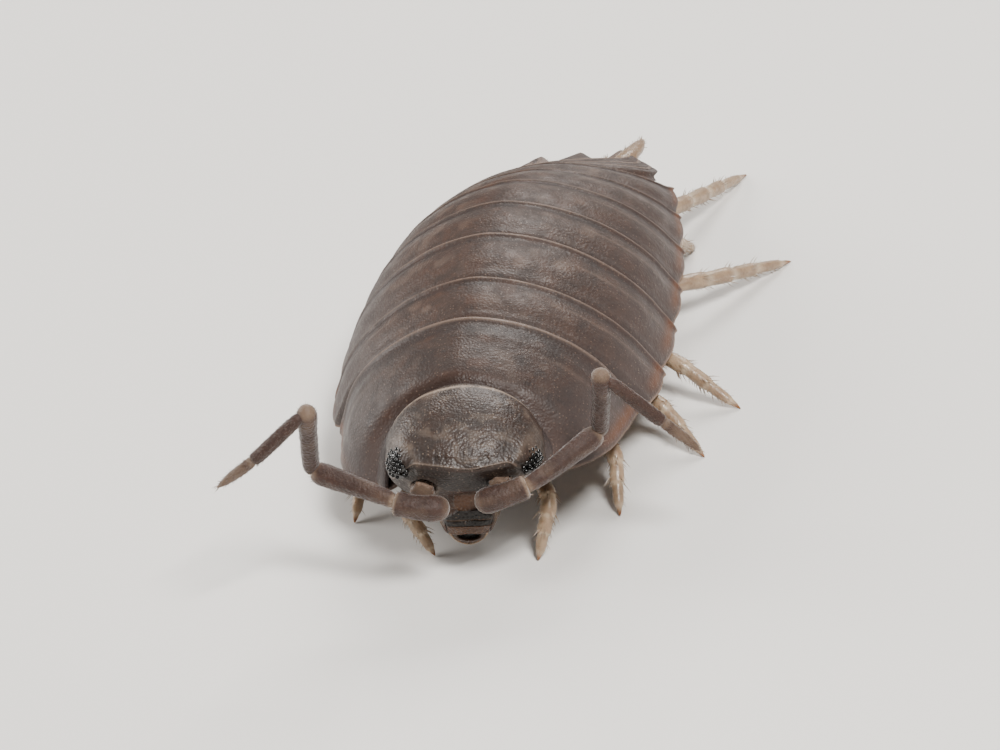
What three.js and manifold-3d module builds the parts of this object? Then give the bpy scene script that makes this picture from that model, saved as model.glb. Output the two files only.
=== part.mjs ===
// A grey woodlouse, life size, standing on a flat floor with its feelers raised.
// Millimetres, +Z up, head towards -Y, tail towards +Y, the animal's left side towards +X.
// A station is the distance back from the front of the head, and a side is the distance to the
// animal's left of the midline. Points are written as side, station, height.
import * as THREE from "three";
import { mergeVertices } from "three/addons/utils/BufferGeometryUtils.js";
import Module from "manifold-3d";

const wasm = await Module();
wasm.setup();
const { lerp, smoothstep, degToRad } = THREE.MathUtils;

// The middle of the footprint, which is the origin
const MIDDLE_STATION = 8.72;
const MIDDLE_SIDE = 0.572;

// The outline from above and the height of the ridge of the back, at stations along the body
const HALF_WIDTHS = [[0, 1.2], [1.2, 1.85], [2.5, 2.84], [3.7, 3.39], [5, 3.68], [7.5, 3.83],
  [10, 3.72], [12.5, 3.4], [15, 2.76], [16.2, 2.2], [17.2, 1.3], [18, 0.7]];
const RIDGE_HEIGHTS = [[0, 3.6], [2, 4.1], [4.5, 4.52], [8, 4.66], [11, 4.24], [14, 3.12],
  [16, 2.13], [17.2, 1.7], [18, 1.52]];
// The tail swings to the left: how far, from the station where the swing starts
const SWING_START = 7;
const SWING = 0.0045;
// The lower edge of the plates rises beside the head
const EDGE_HEIGHTS = [[0, 1.95], [2, 1.82], [4, 1.56], [6, 1.45], [18, 1.45]];
const BELLY_HEIGHTS = [[0, 2.0], [2, 1.95], [6, 1.75], [12, 1.72], [14.5, 1.55], [16.5, 1.3], [18, 1.2]];
const ARCH_POWER = 1.72;
const FLARE = 0.12;

// Plates
const GAP = 0.1;
const RIM = 0.2;
const OVERHANG = 0.4;
// Each plate starts this far ahead of the hind edge that it comes out from under
const LAP = 0.06;
const SKIRT_ROOT = 0.84;
const SKIRT_THICKNESS = 0.5;
const ARCH_STEPS = 12;
const SKIRT_STEPS = 3;
const BELLY_SHARES = [0.62, 0.32, 0, -0.32, -0.62];

// The seven trunk plates from head to tail: length, and how far the rear corners run back
const TRUNK_START = 2.0;
const TRUNK = [
  { length: 2.05, corner: 0.4 },
  { length: 1.6, corner: 0.4 },
  { length: 2.0, corner: 0.42 },
  { length: 1.8, corner: 0.45 },
  { length: 1.75, corner: 0.55 },
  { length: 1.55, corner: 0.75 },
  { length: 1.3, corner: 0.95 },
];
const COLLAR_WRAP = -0.65;
// The rear corners of the first plate draw in over the second
const TUCK = 0.24;
const TAIL_STEPS = [0.4, 0.4, 0.42, 0.44, 0.46];

// The head is turned a little to the left and leans to the left on the neck
const HEAD_TURN = degToRad(10);
const HEAD_LEAN = degToRad(8);
const NECK = { station: 2.2, up: 2.7 };
const EYE = { side: 1.46, station: 0.84, up: 2.88, turn: 45, tilt: 22, gap: 0.06 };
const EYE_RADII = [0.24, 0.34, 0.37];

// Feet touch the floor with a small flat
const FOOT_RADIUS = 0.13;
const HIP_UP = 2.0;
const LIMB_SIDES = 8;

const grey = new THREE.MeshStandardMaterial({ color: 0x6b6462, roughness: 0.55, metalness: 0 });
const darkGrey = new THREE.MeshStandardMaterial({ color: 0x57514f, roughness: 0.5, metalness: 0 });
const cream = new THREE.MeshStandardMaterial({ color: 0xc9b9a6, roughness: 0.5, metalness: 0 });
const mauve = new THREE.MeshStandardMaterial({ color: 0x7d6b69, roughness: 0.5, metalness: 0 });
const black = new THREE.MeshStandardMaterial({ color: 0x0d0d0f, roughness: 0.15, metalness: 0 });
const horn = new THREE.MeshStandardMaterial({ color: 0x5a4334, roughness: 0.35, metalness: 0 });

const root = new THREE.Group();
root.name = "woodlouse";

function place(side, station, up) {
  const swing = SWING * Math.max(station - SWING_START, 0) ** 2;
  return new THREE.Vector3(side + swing - MIDDLE_SIDE, station - MIDDLE_STATION, up);
}

const neck = place(0, NECK.station, NECK.up);
const headTurn = new THREE.Matrix4()
  .makeTranslation(neck.x, neck.y, neck.z)
  .multiply(new THREE.Matrix4().makeRotationZ(HEAD_TURN))
  .multiply(new THREE.Matrix4().makeRotationY(HEAD_LEAN))
  .multiply(new THREE.Matrix4().makeTranslation(-neck.x, -neck.y, -neck.z));

// A smooth curve through the rows of a table of station and value.
function along(table, station) {
  const last = table.length - 2;
  let i = 0;
  while (i < last && station > table[i + 1][0]) i++;
  const slope = (k) => {
    const a = table[Math.max(k - 1, 0)];
    const b = table[Math.min(k + 1, table.length - 1)];
    return (b[1] - a[1]) / (b[0] - a[0]);
  };
  const [x0, y0] = table[i];
  const [x1, y1] = table[i + 1];
  const width = x1 - x0;
  const t = THREE.MathUtils.clamp((station - x0) / width, 0, 1);
  const rise = 3 * t * t - 2 * t * t * t;
  const leave = t * (1 - t) * (1 - t) * slope(i);
  const arrive = t * t * (t - 1) * slope(i + 1);
  return lerp(y0, y1, rise) + width * (leave + arrive);
}

// A point of the arched back. across runs from -1 at the right edge to 1 at the left edge.
// inset draws the arch in all round, and tuck draws in its sides.
function archPoint(station, across, inset, tuck) {
  const angle = (across * Math.PI) / 2;
  const sine = Math.sign(across) * Math.abs(Math.sin(angle)) ** (2 / ARCH_POWER);
  const cosine = Math.max(Math.cos(angle), 0) ** (2 / ARCH_POWER);
  const flare = FLARE * smoothstep(Math.abs(across), 0.8, 1) - tuck * smoothstep(Math.abs(across), 0.4, 1);
  const edge = along(EDGE_HEIGHTS, station);
  return {
    side: sine * (along(HALF_WIDTHS, station) - inset) + flare * Math.sign(across),
    up: edge + cosine * (along(RIDGE_HEIGHTS, station) - edge - inset),
  };
}

// One closed outline across the body: over the back, round the side skirts and along the belly.
// inset and tuck draw the outline in, skirt lets the sides hang from nothing to full, sweep
// carries the sides back, and keel is the station of the belly.
function bodyRing({ station, inset, skirt, sweep, keel, belly = 0, tuck = 0 }) {
  const reach = lerp(SKIRT_ROOT + 0.01, 1, skirt);
  const at = (across) => station + sweep * Math.abs(across) ** 2.4;
  const points = [];
  for (let i = -ARCH_STEPS; i <= ARCH_STEPS; i++) {
    const across = (reach * i) / ARCH_STEPS;
    const p = archPoint(at(across), across, inset, tuck);
    points.push(place(p.side, at(across), p.up));
  }
  const inner = (hand) => {
    const made = [];
    for (let k = 1; k <= SKIRT_STEPS; k++) {
      const share = k / SKIRT_STEPS;
      const across = lerp(reach, SKIRT_ROOT - 0.03, share) * hand;
      const p = archPoint(at(across), across, inset, tuck);
      const depth = lerp(0.1, SKIRT_THICKNESS, share ** 0.7);
      made.push(place(p.side - hand * depth, at(across), p.up + 0.04 - 0.1 * share));
    }
    return made;
  };
  points.push(...inner(1));
  for (const share of BELLY_SHARES) {
    const side = share * along(HALF_WIDTHS, keel);
    const sag = 0.15 * (1 - (share / BELLY_SHARES[0]) ** 2);
    points.push(place(side, keel, along(BELLY_HEIGHTS, keel) + belly - sag));
  }
  points.push(...inner(-1).reverse());
  return points;
}

// Joins rings of equal length into a closed skin, with a flat cover on the first and the last.
function loft(rings) {
  const count = rings[0].length;
  const indices = [];
  for (let r = 0; r < rings.length - 1; r++) {
    for (let i = 0; i < count; i++) {
      const a = r * count + i;
      const b = r * count + ((i + 1) % count);
      indices.push(a, a + count, b, b, a + count, b + count);
    }
  }
  indices.push(...cover(rings[0], 0, false));
  indices.push(...cover(rings.at(-1), (rings.length - 1) * count, true));
  const geometry = new THREE.BufferGeometry();
  const places = rings.flat().flatMap((p) => p.toArray());
  geometry.setAttribute("position", new THREE.Float32BufferAttribute(places, 3));
  geometry.setIndex(indices);
  return facingOut(geometry);
}

// Triangles over one ring, flattened along the ring's own mean direction.
function cover(ring, offset, flip) {
  const centre = ring.reduce((sum, p) => sum.add(p), new THREE.Vector3()).divideScalar(ring.length);
  const normal = new THREE.Vector3();
  ring.forEach((p, i) => {
    const next = ring[(i + 1) % ring.length];
    normal.add(p.clone().sub(centre).cross(next.clone().sub(centre)));
  });
  normal.normalize();
  const first = ring[0].clone().sub(centre).projectOnPlane(normal).normalize();
  const second = normal.clone().cross(first);
  const flat = ring.map((p) => {
    const arm = p.clone().sub(centre);
    return new THREE.Vector2(arm.dot(first), arm.dot(second));
  });
  return THREE.ShapeUtils.triangulateShape(flat, []).flatMap(([a, b, c]) => {
    const turn = flat[b].clone().sub(flat[a]).cross(flat[c].clone().sub(flat[a]));
    const keep = turn > 0 === flip;
    return [offset + a, offset + (keep ? c : b), offset + (keep ? b : c)];
  });
}

function facingOut(geometry) {
  const p = geometry.getAttribute("position");
  const index = geometry.index.array;
  const corners = [0, 1, 2].map(() => new THREE.Vector3());
  let volume = 0;
  for (let i = 0; i < index.length; i += 3) {
    corners.forEach((v, k) => v.fromBufferAttribute(p, index[i + k]));
    volume += corners[0].dot(corners[1].clone().cross(corners[2]));
  }
  if (volume < 0) {
    for (let i = 0; i < index.length; i += 3) {
      [index[i + 1], index[i + 2]] = [index[i + 2], index[i + 1]];
    }
  }
  return geometry;
}

// The same closed shape grown outwards, for cutting a neighbour clear of it.
function swollen(geometry, distance) {
  const grown = welded(geometry);
  grown.computeVertexNormals();
  const p = grown.getAttribute("position");
  const n = grown.getAttribute("normal");
  for (let i = 0; i < p.count; i++) {
    const moved = new THREE.Vector3().fromBufferAttribute(n, i).multiplyScalar(distance);
    moved.add(new THREE.Vector3().fromBufferAttribute(p, i));
    p.setXYZ(i, moved.x, moved.y, moved.z);
  }
  return grown;
}

function welded(geometry) {
  const bare = geometry.clone();
  bare.deleteAttribute("normal");
  bare.deleteAttribute("uv");
  return mergeVertices(bare, 1e-4);
}

function solid(geometry) {
  const merged = welded(geometry);
  return new wasm.Manifold(
    new wasm.Mesh({
      numProp: 3,
      vertProperties: new Float32Array(merged.getAttribute("position").array),
      triVerts: new Uint32Array(merged.index.array),
    }),
  );
}

// The largest closed body of a solid, as a geometry.
function largest(made) {
  const body = made.decompose().reduce((a, b) => (b.volume() > a.volume() ? b : a));
  const mesh = body.getMesh();
  const geometry = new THREE.BufferGeometry();
  geometry.setAttribute("position", new THREE.Float32BufferAttribute(mesh.vertProperties, 3));
  geometry.setIndex(Array.from(mesh.triVerts));
  return geometry;
}

// The part of a shape that is above the floor and clear of its neighbours.
function cutClear(geometry, neighbours, gap = GAP) {
  let made = solid(geometry).trimByPlane([0, 0, 1], 0);
  for (const other of neighbours) made = made.subtract(solid(swollen(other, gap)));
  return largest(made);
}

function add(name, geometry, material) {
  const mesh = new THREE.Mesh(geometry, material);
  mesh.name = name;
  root.add(mesh);
  return geometry;
}

// A round limb through points given as side, station, height, radius.
function limb(rows, sides = LIMB_SIDES) {
  const points = rows.map(([side, station, up]) => place(side, station, up));
  let across = new THREE.Vector3(0.3, 0.2, 1).normalize();
  const rings = points.map((point, i) => {
    const before = points[Math.max(i - 1, 0)];
    const after = points[Math.min(i + 1, points.length - 1)];
    const ahead = after.clone().sub(point).normalize();
    const behind = point.clone().sub(before).normalize();
    const tangent = ahead.add(behind).normalize();
    across = across.clone().projectOnPlane(tangent).normalize();
    const other = tangent.clone().cross(across);
    const radius = rows[i][3];
    return Array.from({ length: sides }, (_, k) => {
      const angle = (2 * Math.PI * k) / sides;
      return point
        .clone()
        .addScaledVector(across, radius * Math.cos(angle))
        .addScaledVector(other, radius * Math.sin(angle));
    });
  });
  return loft(rings);
}

// Head: level outlines stacked from the underside to the crown, then turned on the neck
const HEAD_OUTLINES = [
  { up: 1.78, front: 0.8, back: 2.3, half: 1.12, power: 2.2 },
  { up: 2.05, front: 0.6, back: 2.5, half: 1.5, power: 2.3 },
  { up: 2.4, front: 0.44, back: 2.6, half: 1.72, power: 2.4 },
  { up: 2.75, front: 0.3, back: 2.62, half: 1.77, power: 2.5 },
  { up: 3.05, front: 0.16, back: 2.62, half: 1.74, power: 2.5 },
  { up: 3.18, front: 0.22, back: 2.6, half: 1.68, power: 2.45 },
  { up: 3.42, front: 0.46, back: 2.58, half: 1.54, power: 2.3 },
  { up: 3.66, front: 0.78, back: 2.52, half: 1.3, power: 2.2 },
  { up: 3.86, front: 1.15, back: 2.45, half: 0.97, power: 2.1 },
  { up: 3.98, front: 1.5, back: 2.35, half: 0.62, power: 2.05 },
  { up: 4.04, front: 1.75, back: 2.2, half: 0.3, power: 2 },
];
const HEAD_STEPS = 28;
function headOutline({ up, front, back, half, power }) {
  const middle = lerp(front, back, 0.55);
  return Array.from({ length: HEAD_STEPS }, (_, k) => {
    const angle = (2 * Math.PI * k) / HEAD_STEPS;
    const sine = Math.sign(Math.sin(angle)) * Math.abs(Math.sin(angle)) ** (2 / power);
    const cosine = Math.sign(Math.cos(angle)) * Math.abs(Math.cos(angle)) ** (2 / power);
    const reach = cosine > 0 ? middle - front : back - middle;
    return place(sine * half, middle - cosine * reach, up).applyMatrix4(headTurn);
  });
}
const headBlock = loft(HEAD_OUTLINES.map(headOutline));

const eyes = [1, -1].map((hand) => {
  const ball = new THREE.SphereGeometry(1, 14, 9);
  ball.scale(...EYE_RADII);
  ball.rotateY(degToRad(-EYE.tilt) * hand);
  ball.rotateZ(degToRad(-EYE.turn) * hand);
  const at = place(EYE.side * hand, EYE.station, EYE.up);
  ball.translate(at.x, at.y, at.z);
  return ball.applyMatrix4(headTurn);
});
add("eye_left", largest(solid(eyes[0])), black);
add("eye_right", largest(solid(eyes[1])), black);
add("head", cutClear(headBlock, eyes, EYE.gap), darkGrey);

// Mouthparts: a short blunt beak under the head
const MOUTH_OUTLINES = [
  { up: 0.8, front: 0.66, back: 1.3, half: 0.3, power: 2 },
  { up: 0.98, front: 0.56, back: 1.6, half: 0.54, power: 2.1 },
  { up: 1.35, front: 0.5, back: 1.85, half: 0.74, power: 2.2 },
  { up: 1.78 - GAP, front: 0.56, back: 2.1, half: 0.86, power: 2.2 },
];
const mouth = loft(MOUTH_OUTLINES.map(headOutline));
add("mouthparts", mouth, horn);

// Trunk: each plate starts low under the plate in front and rises to a thin overhanging rim
const trunkStations = [TRUNK_START];
for (const plate of TRUNK) trunkStations.push(trunkStations.at(-1) + plate.length);

function trunkRings(i) {
  const start = trunkStations[i];
  const end = trunkStations[i + 1];
  const first = i === 0;
  const front = first ? COLLAR_WRAP : TRUNK[i - 1].corner;
  const rear = TRUNK[i].corner;
  const shown = start + (first ? 0 : OVERHANG + GAP);
  const hind = end + OVERHANG;
  const tuck = first ? TUCK : 0;
  const under = i === 1 ? TUCK : 0;
  const ring = (share, inset, skirt, drawn = tuck) => ({
    station: lerp(shown, hind, share),
    inset,
    skirt,
    sweep: lerp(front, rear, share),
    tuck: drawn,
  });
  const opening = first
    ? [
        { station: start + 0.1, inset: 0.24, skirt: 0, sweep: front, belly: 0.05, tuck: 0 },
        { station: start, inset: 0.12, skirt: 0.9, sweep: front, tuck: 0 },
        ring(0.08, 0.04, 1, 0),
        ring(0.3, 0, 1, 0),
      ]
    : [
        { station: start + GAP, inset: RIM + GAP, skirt: 0, sweep: front, belly: 0.05, tuck: under },
        { station: shown - LAP, inset: RIM + GAP, skirt: 0, sweep: front, tuck: under },
        ring(0.05, RIM, 0.6, under / 2),
        ring(0.2, 0.12, 1, 0),
      ];
  return [
    ...opening,
    ring(0.55, 0.02, 1, tuck / 2),
    ring(0.8, 0.06, 1),
    ring(0.95, 0, 1),
    { station: hind, inset: 0.06, skirt: 0.97, sweep: rear, tuck },
    { station: hind, inset: RIM, skirt: 0, sweep: rear, tuck },
    { station: end, inset: RIM, skirt: 0, sweep: rear, tuck },
  ].map((row, k, all) => bodyRing({ ...row, keel: lerp(start + GAP, end, k / (all.length - 1)) }));
}

const trunk = TRUNK.map((_, i) => loft(trunkRings(i)));
trunk.forEach((plate, i) => {
  const clear = i === 0 ? cutClear(plate, [headBlock, mouth, ...eyes]) : plate;
  add(`trunk_plate_${i + 1}`, clear, grey);
});

// Tail: five short stepped rings in one piece, ending behind in a flat face
const tailStart = trunkStations.at(-1);
function tailRings() {
  let station = tailStart + OVERHANG + GAP - LAP;
  let sweep = TRUNK.at(-1).corner;
  const rings = [
    { station: tailStart + GAP, inset: RIM + GAP, skirt: 0, sweep, belly: 0.05 },
    { station, inset: RIM + GAP, skirt: 0, sweep },
  ];
  TAIL_STEPS.forEach((length, i) => {
    const open = i > 1;
    const inset = open ? 0.1 : 0.3;
    const step = (share, deeper, skirt) => {
      rings.push({ station: station + share * length, inset: inset + deeper, skirt, sweep });
    };
    step(0.25, 0.08, open ? 0.8 : 0);
    step(0.9, 0, open ? 1 : 0.1);
    step(0.95, 0.14, open ? 0.6 : 0);
    station += length;
    sweep *= 0.93;
  });
  const last = rings.length - 1;
  return rings.map((row, k) => bodyRing({ ...row, keel: lerp(tailStart + GAP, station, k / last) }));
}
const tail = loft(tailRings());
add("tail_plates", cutClear(tail, [trunk[6]]), grey);
const tailEnd = tailStart + OVERHANG + TAIL_STEPS.reduce((a, b) => a + b, 0);

// The last plate is a small hollow-sided triangle. Its root leans back with the tail's end face
const POINT = { start: 0.16, length: 0.7, halfWidth: 0.64, tipHalfWidth: 0.1, sides: 10 };
const pointRings = [0, 0.3, 0.6, 0.85, 1].map((share) => {
  const half = lerp(POINT.halfWidth, POINT.tipHalfWidth, share ** 0.8);
  const up = lerp(1.82, 1.52, share);
  const depth = lerp(0.3, 0.14, share);
  return Array.from({ length: POINT.sides }, (_, k) => {
    const angle = (2 * Math.PI * k) / POINT.sides;
    const below = (depth / 2) * (1 - Math.sin(angle));
    const station = tailEnd + POINT.start + POINT.length * share + below * (1 - share);
    return place(half * Math.cos(angle), station, up - below);
  });
});
const point = loft(pointRings);
add("tail_point", point, grey);

// A pair of flattened tail feelers beside the point, the left one stretched out further:
// side, distance behind the last tail ring, height, radius
const TAIL_FEELERS = {
  left: [[0.85, -0.35, 1.5, 0.22], [1.02, 0.15, 1.42, 0.25], [1.18, 0.75, 1.34, 0.25],
    [1.28, 1.35, 1.27, 0.18], [1.32, 1.85, 1.22, 0.07]],
  right: [[-0.85, -0.35, 1.5, 0.22], [-0.95, 0.1, 1.38, 0.25], [-0.98, 0.5, 1.28, 0.25],
    [-0.97, 0.85, 1.2, 0.17], [-0.95, 1.15, 1.14, 0.07]],
};
for (const [hand, line] of Object.entries(TAIL_FEELERS)) {
  const rows = line.map(([side, behind, ...rest]) => [side, tailEnd + behind, ...rest]);
  add(`tail_feeler_${hand}`, cutClear(limb(rows), [tail, point]), cream);
}

// Feelers: a thick three-jointed base on the face, two long joints and a two-jointed lash
const FEELERS = {
  left: {
    base: [[1.0, 1.0, 2.38, 0.22], [0.88, 0.5, 2.32, 0.24], [0.68, 0.12, 2.23, 0.26],
      [1.15, 0.18, 2.32, 0.27], [1.62, 0.36, 2.42, 0.28]],
    joint_4: [[1.62, 0.36, 2.42, 0.2], [1.95, 0.6, 2.5, 0.24], [2.9, 1.42, 2.8, 0.27],
      [3.2, 1.66, 2.9, 0.22]],
    joint_5: [[3.2, 1.66, 2.9, 0.2], [3.28, 1.5, 3.3, 0.25], [3.52, 1.1, 4.3, 0.25],
      [3.6, 0.95, 4.75, 0.24]],
    lash: [[3.82, 0.98, 4.49, 0.18], [3.98, 1.0, 4.29, 0.25], [4.7, 1.08, 3.42, 0.25],
      [4.82, 1.09, 3.28, 0.22], [5.3, 1.14, 2.72, 0.19], [5.46, 1.15, 2.52, 0.06]],
  },
  right: {
    base: [[-0.74, 0.95, 2.48, 0.22], [-0.6, 0.45, 2.4, 0.24], [-0.34, -0.06, 2.27, 0.26],
      [-0.8, -0.19, 2.4, 0.27], [-1.29, -0.15, 2.56, 0.28]],
    joint_4: [[-1.29, -0.15, 2.56, 0.2], [-1.6, -0.06, 2.7, 0.24], [-2.8, 0.27, 3.1, 0.27],
      [-3.12, 0.36, 3.2, 0.22]],
    joint_5: [[-3.12, 0.36, 3.2, 0.2], [-3.06, 0.22, 3.6, 0.25], [-2.8, -0.32, 4.85, 0.25],
      [-2.71, -0.49, 5.24, 0.24]],
    lash: [[-2.98, -0.57, 5.05, 0.18], [-3.16, -0.62, 4.92, 0.25], [-3.98, -0.86, 4.34, 0.25],
      [-4.14, -0.9, 4.23, 0.22], [-4.7, -0.98, 3.9, 0.19], [-4.93, -1.01, 3.77, 0.06]],
  },
};
for (const [hand, parts] of Object.entries(FEELERS)) {
  let before = headBlock;
  for (const [name, rows] of Object.entries(parts)) {
    const piece = limb(rows);
    add(`feeler_${hand}_${name}`, cutClear(piece, [before]), mauve);
    before = piece;
  }
}

// Legs: root under the plate, knee, and the foot on the floor
const LEGS = {
  left: [
    { plate: 0, root: [1.3, 2.75], knee: [1.75, 1.75, 1.15], foot: [1.38, 1.05] },
    { plate: 1, root: [1.85, 5.0], knee: [2.95, 3.9, 1.1], foot: [3.05, 2.7] },
    { plate: 2, root: [2.0, 6.7], knee: [3.75, 5.9, 1.02], foot: [4.75, 5.0] },
    { plate: 3, root: [2.0, 8.6], knee: [3.9, 7.75, 1.02], foot: [5.38, 7.05] },
    { plate: 4, root: [2.0, 10.4], knee: [3.9, 11.4, 1.02], foot: [5.7, 13.85] },
    { plate: 5, root: [1.9, 12.1], knee: [2.95, 13.4, 1.02], foot: [3.15, 14.85] },
    { plate: 6, root: [1.7, 13.5], knee: [2.85, 15.3, 0.98], foot: [3.75, 18.4] },
  ],
  right: [
    { plate: 0, root: [-1.3, 2.85], knee: [-1.65, 2.0, 1.15], foot: [-1.05, 1.55] },
    { plate: 1, root: [-1.85, 5.0], knee: [-2.9, 4.1, 1.1], foot: [-3.2, 3.2] },
    { plate: 2, root: [-1.9, 6.7], knee: [-3.1, 6.1, 1.0], foot: [-3.55, 5.3] },
    { plate: 3, root: [-1.9, 8.6], knee: [-3.15, 8.2, 1.0], foot: [-3.65, 7.7] },
    { plate: 4, root: [-1.9, 10.4], knee: [-3.1, 10.7, 1.0], foot: [-3.6, 11.1] },
    { plate: 5, root: [-1.8, 12.1], knee: [-2.9, 12.8, 1.0], foot: [-3.35, 13.5] },
    { plate: 6, root: [-1.6, 13.5], knee: [-2.45, 14.7, 0.95], foot: [-2.8, 15.9] },
  ],
};
for (const [hand, legs] of Object.entries(LEGS)) {
  legs.forEach(({ plate, root: hip, knee: [kneeSide, kneeStation, kneeUp], foot }, i) => {
    const outward = (share, up, radius) => {
      return [lerp(hip[0], kneeSide, share), lerp(hip[1], kneeStation, share), up, radius];
    };
    const drop = (share, radius) => {
      const at = [lerp(kneeSide, foot[0], share), lerp(kneeStation, foot[1], share)];
      return [...at, lerp(kneeUp, 0, share), radius];
    };
    const rows = [
      outward(0, HIP_UP, 0.3),
      outward(0.2, 1.45, 0.3),
      outward(0.45, kneeUp + 0.12, 0.28),
      outward(0.85, kneeUp + 0.03, 0.25),
      drop(0.12, 0.25),
      drop(0.55, 0.24),
      drop(0.85, 0.18),
      drop(1.05, FOOT_RADIUS),
    ];
    const near = [trunk[plate], trunk[plate - 1], trunk[plate + 1], plate === 6 ? tail : null];
    add(`leg_${hand}_${i + 1}`, cutClear(limb(rows), near.filter(Boolean)), cream);
  });
}

export default root;
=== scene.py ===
"""A grey woodlouse on a plain floor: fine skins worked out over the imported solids.

Sizes here are in millimetres and become metres when a mesh is made. A station is the distance
back from the front of the head, and a side is the distance to the animal's left of its midline.
"""
import math

import bpy
import numpy as np
from mathutils import Matrix, Vector


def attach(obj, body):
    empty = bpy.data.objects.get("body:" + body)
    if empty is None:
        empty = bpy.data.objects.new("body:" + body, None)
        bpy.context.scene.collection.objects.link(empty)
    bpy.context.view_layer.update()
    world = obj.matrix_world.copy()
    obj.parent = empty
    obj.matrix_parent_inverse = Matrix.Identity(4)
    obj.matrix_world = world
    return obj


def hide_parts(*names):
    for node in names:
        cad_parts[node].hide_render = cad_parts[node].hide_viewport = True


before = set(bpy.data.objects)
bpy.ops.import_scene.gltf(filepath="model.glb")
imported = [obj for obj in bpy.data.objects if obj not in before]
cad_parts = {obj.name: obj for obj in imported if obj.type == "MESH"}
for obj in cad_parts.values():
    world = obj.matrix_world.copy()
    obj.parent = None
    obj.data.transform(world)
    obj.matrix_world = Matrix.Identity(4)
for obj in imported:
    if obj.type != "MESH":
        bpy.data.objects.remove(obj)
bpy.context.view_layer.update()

MM = 0.001
MIDDLE_STATION = 8.72
MIDDLE_SIDE = 0.572
SWING_START = 7
SWING = 0.0045

# The outline from above, the ridge of the back and the belly, by station
HALF_WIDTHS = [(0, 1.2), (1.2, 1.85), (2.5, 2.84), (3.7, 3.39), (5, 3.68), (7.5, 3.83),
               (10, 3.72), (12.5, 3.4), (15, 2.76), (16.2, 2.2), (17.2, 1.3), (18, 0.7)]
RIDGE_HEIGHTS = [(0, 3.6), (2, 4.1), (4.5, 4.52), (8, 4.66), (11, 4.24), (14, 3.12),
                 (16, 2.13), (17.2, 1.7), (18, 1.52)]
EDGE_HEIGHTS = [(0, 1.95), (2, 1.82), (4, 1.56), (6, 1.45), (18, 1.45)]
BELLY_HEIGHTS = [(0, 2.0), (2, 1.95), (6, 1.75), (12, 1.72), (14.5, 1.55), (16.5, 1.3), (18, 1.2)]
ARCH_POWER = 1.72
FLARE = 0.12

GAP = 0.1
RIM = 0.2
OVERHANG = 0.4
SKIRT_ROOT = 0.81
SKIRT_THICKNESS = 0.5
COLLAR_WRAP = -0.65
TUCK = 0.24
TRUNK_START = 2.0
TRUNK_LENGTHS = [2.05, 1.6, 2.0, 1.8, 1.75, 1.55, 1.3]
TRUNK_CORNERS = [0.4, 0.4, 0.42, 0.45, 0.55, 0.75, 0.95]
TAIL_STEPS = [0.4, 0.4, 0.42, 0.44, 0.46]

HEAD_TURN = math.radians(10)
HEAD_LEAN = math.radians(8)
NECK_STATION = 2.2
NECK_UP = 2.7


# Numbers
def ease(x, low, high):
    """0 below low, 1 above high, and the smooth cubic 3t^2 - 2t^3 between them."""
    t = np.clip((np.asarray(x, float) - low) / (high - low), 0, 1)
    return t * t * (3 - 2 * t)


def hump(x, centre, width):
    """A bell: e to the minus square of the distance from centre over width."""
    return np.exp(-((np.asarray(x, float) - centre) / width) ** 2)


def blend(a, b, share):
    """The straight mix of a and b."""
    return a + (b - a) * share


def curve(table, x):
    """A smooth line through rows of place and value: a cubic between neighbouring rows, whose
    slope at each row is that of the chord between the rows on either side."""
    rows = np.array(table, float)
    xs, ys = rows[:, 0], rows[:, 1]
    x = np.clip(np.asarray(x, float), xs[0], xs[-1])
    row = np.arange(len(xs))
    low, high = np.maximum(row - 1, 0), np.minimum(row + 1, len(xs) - 1)
    slope = (ys[high] - ys[low]) / (xs[high] - xs[low])
    i = np.clip(np.searchsorted(xs, x, side="right") - 1, 0, len(xs) - 2)
    width = xs[i + 1] - xs[i]
    u = (x - xs[i]) / width
    rise = 3 * u * u - 2 * u**3
    bend = u * (1 - u) ** 2 * slope[i] + u * u * (u - 1) * slope[i + 1]
    return blend(ys[i], ys[i + 1], rise) + width * bend


def scramble(cells, salt):
    """A fixed number from 0 to 1 for each whole-number cell, by multiplying and mixing its bits."""
    n = cells.astype(np.int64) @ np.array([73856093, 19349663, 83492791]) + salt * 97531
    n = ((n ^ (n >> 13)) * 1274126177) & 0x7FFFFFFF
    n = ((n ^ (n >> 15)) * 668265263) & 0x7FFFFFFF
    return ((n >> 7) & 0xFFFF) / 65535


def cloud(points, size, salt):
    """Soft noise from -1 to 1: random values at the corners of cubes of that size, eased
    across each cube."""
    scaled = np.asarray(points, float) / size
    base = np.floor(scaled)
    t = scaled - base
    t = t * t * (3 - 2 * t)
    total = np.zeros(scaled.shape[:-1])
    for corner in np.ndindex(2, 2, 2):
        weight = np.prod(np.where(np.array(corner) == 1, t, 1 - t), axis=-1)
        total += weight * scramble(base + np.array(corner), salt)
    return 2 * total - 1


def grains(points, size, salt):
    """Close-set domes from 0 to 1: one jittered centre in each cube of that size, and a round
    fall of one minus the square of the distance to the nearest centre."""
    scaled = np.asarray(points, float) / size
    base = np.floor(scaled)
    nearest = np.full(scaled.shape[:-1], 9.0)
    for corner in np.ndindex(3, 3, 3):
        cell = base + np.array(corner) - 1
        jitter = np.stack([scramble(cell, salt + k) for k in range(3)], -1)
        away = ((cell + 0.15 + 0.7 * jitter - scaled) ** 2).sum(-1)
        nearest = np.minimum(nearest, away)
    return np.clip(1 - nearest / 0.3, 0, 1)


# Places on the animal
def place(side, station, up):
    """Points in the row's frame. Behind SWING_START the midline swings to the left by SWING
    times the square of the distance."""
    swing = SWING * np.maximum(np.asarray(station, float) - SWING_START, 0) ** 2
    parts = (side + swing - MIDDLE_SIDE, station - MIDDLE_STATION, up)
    return np.stack(np.broadcast_arrays(*parts), -1)


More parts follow.
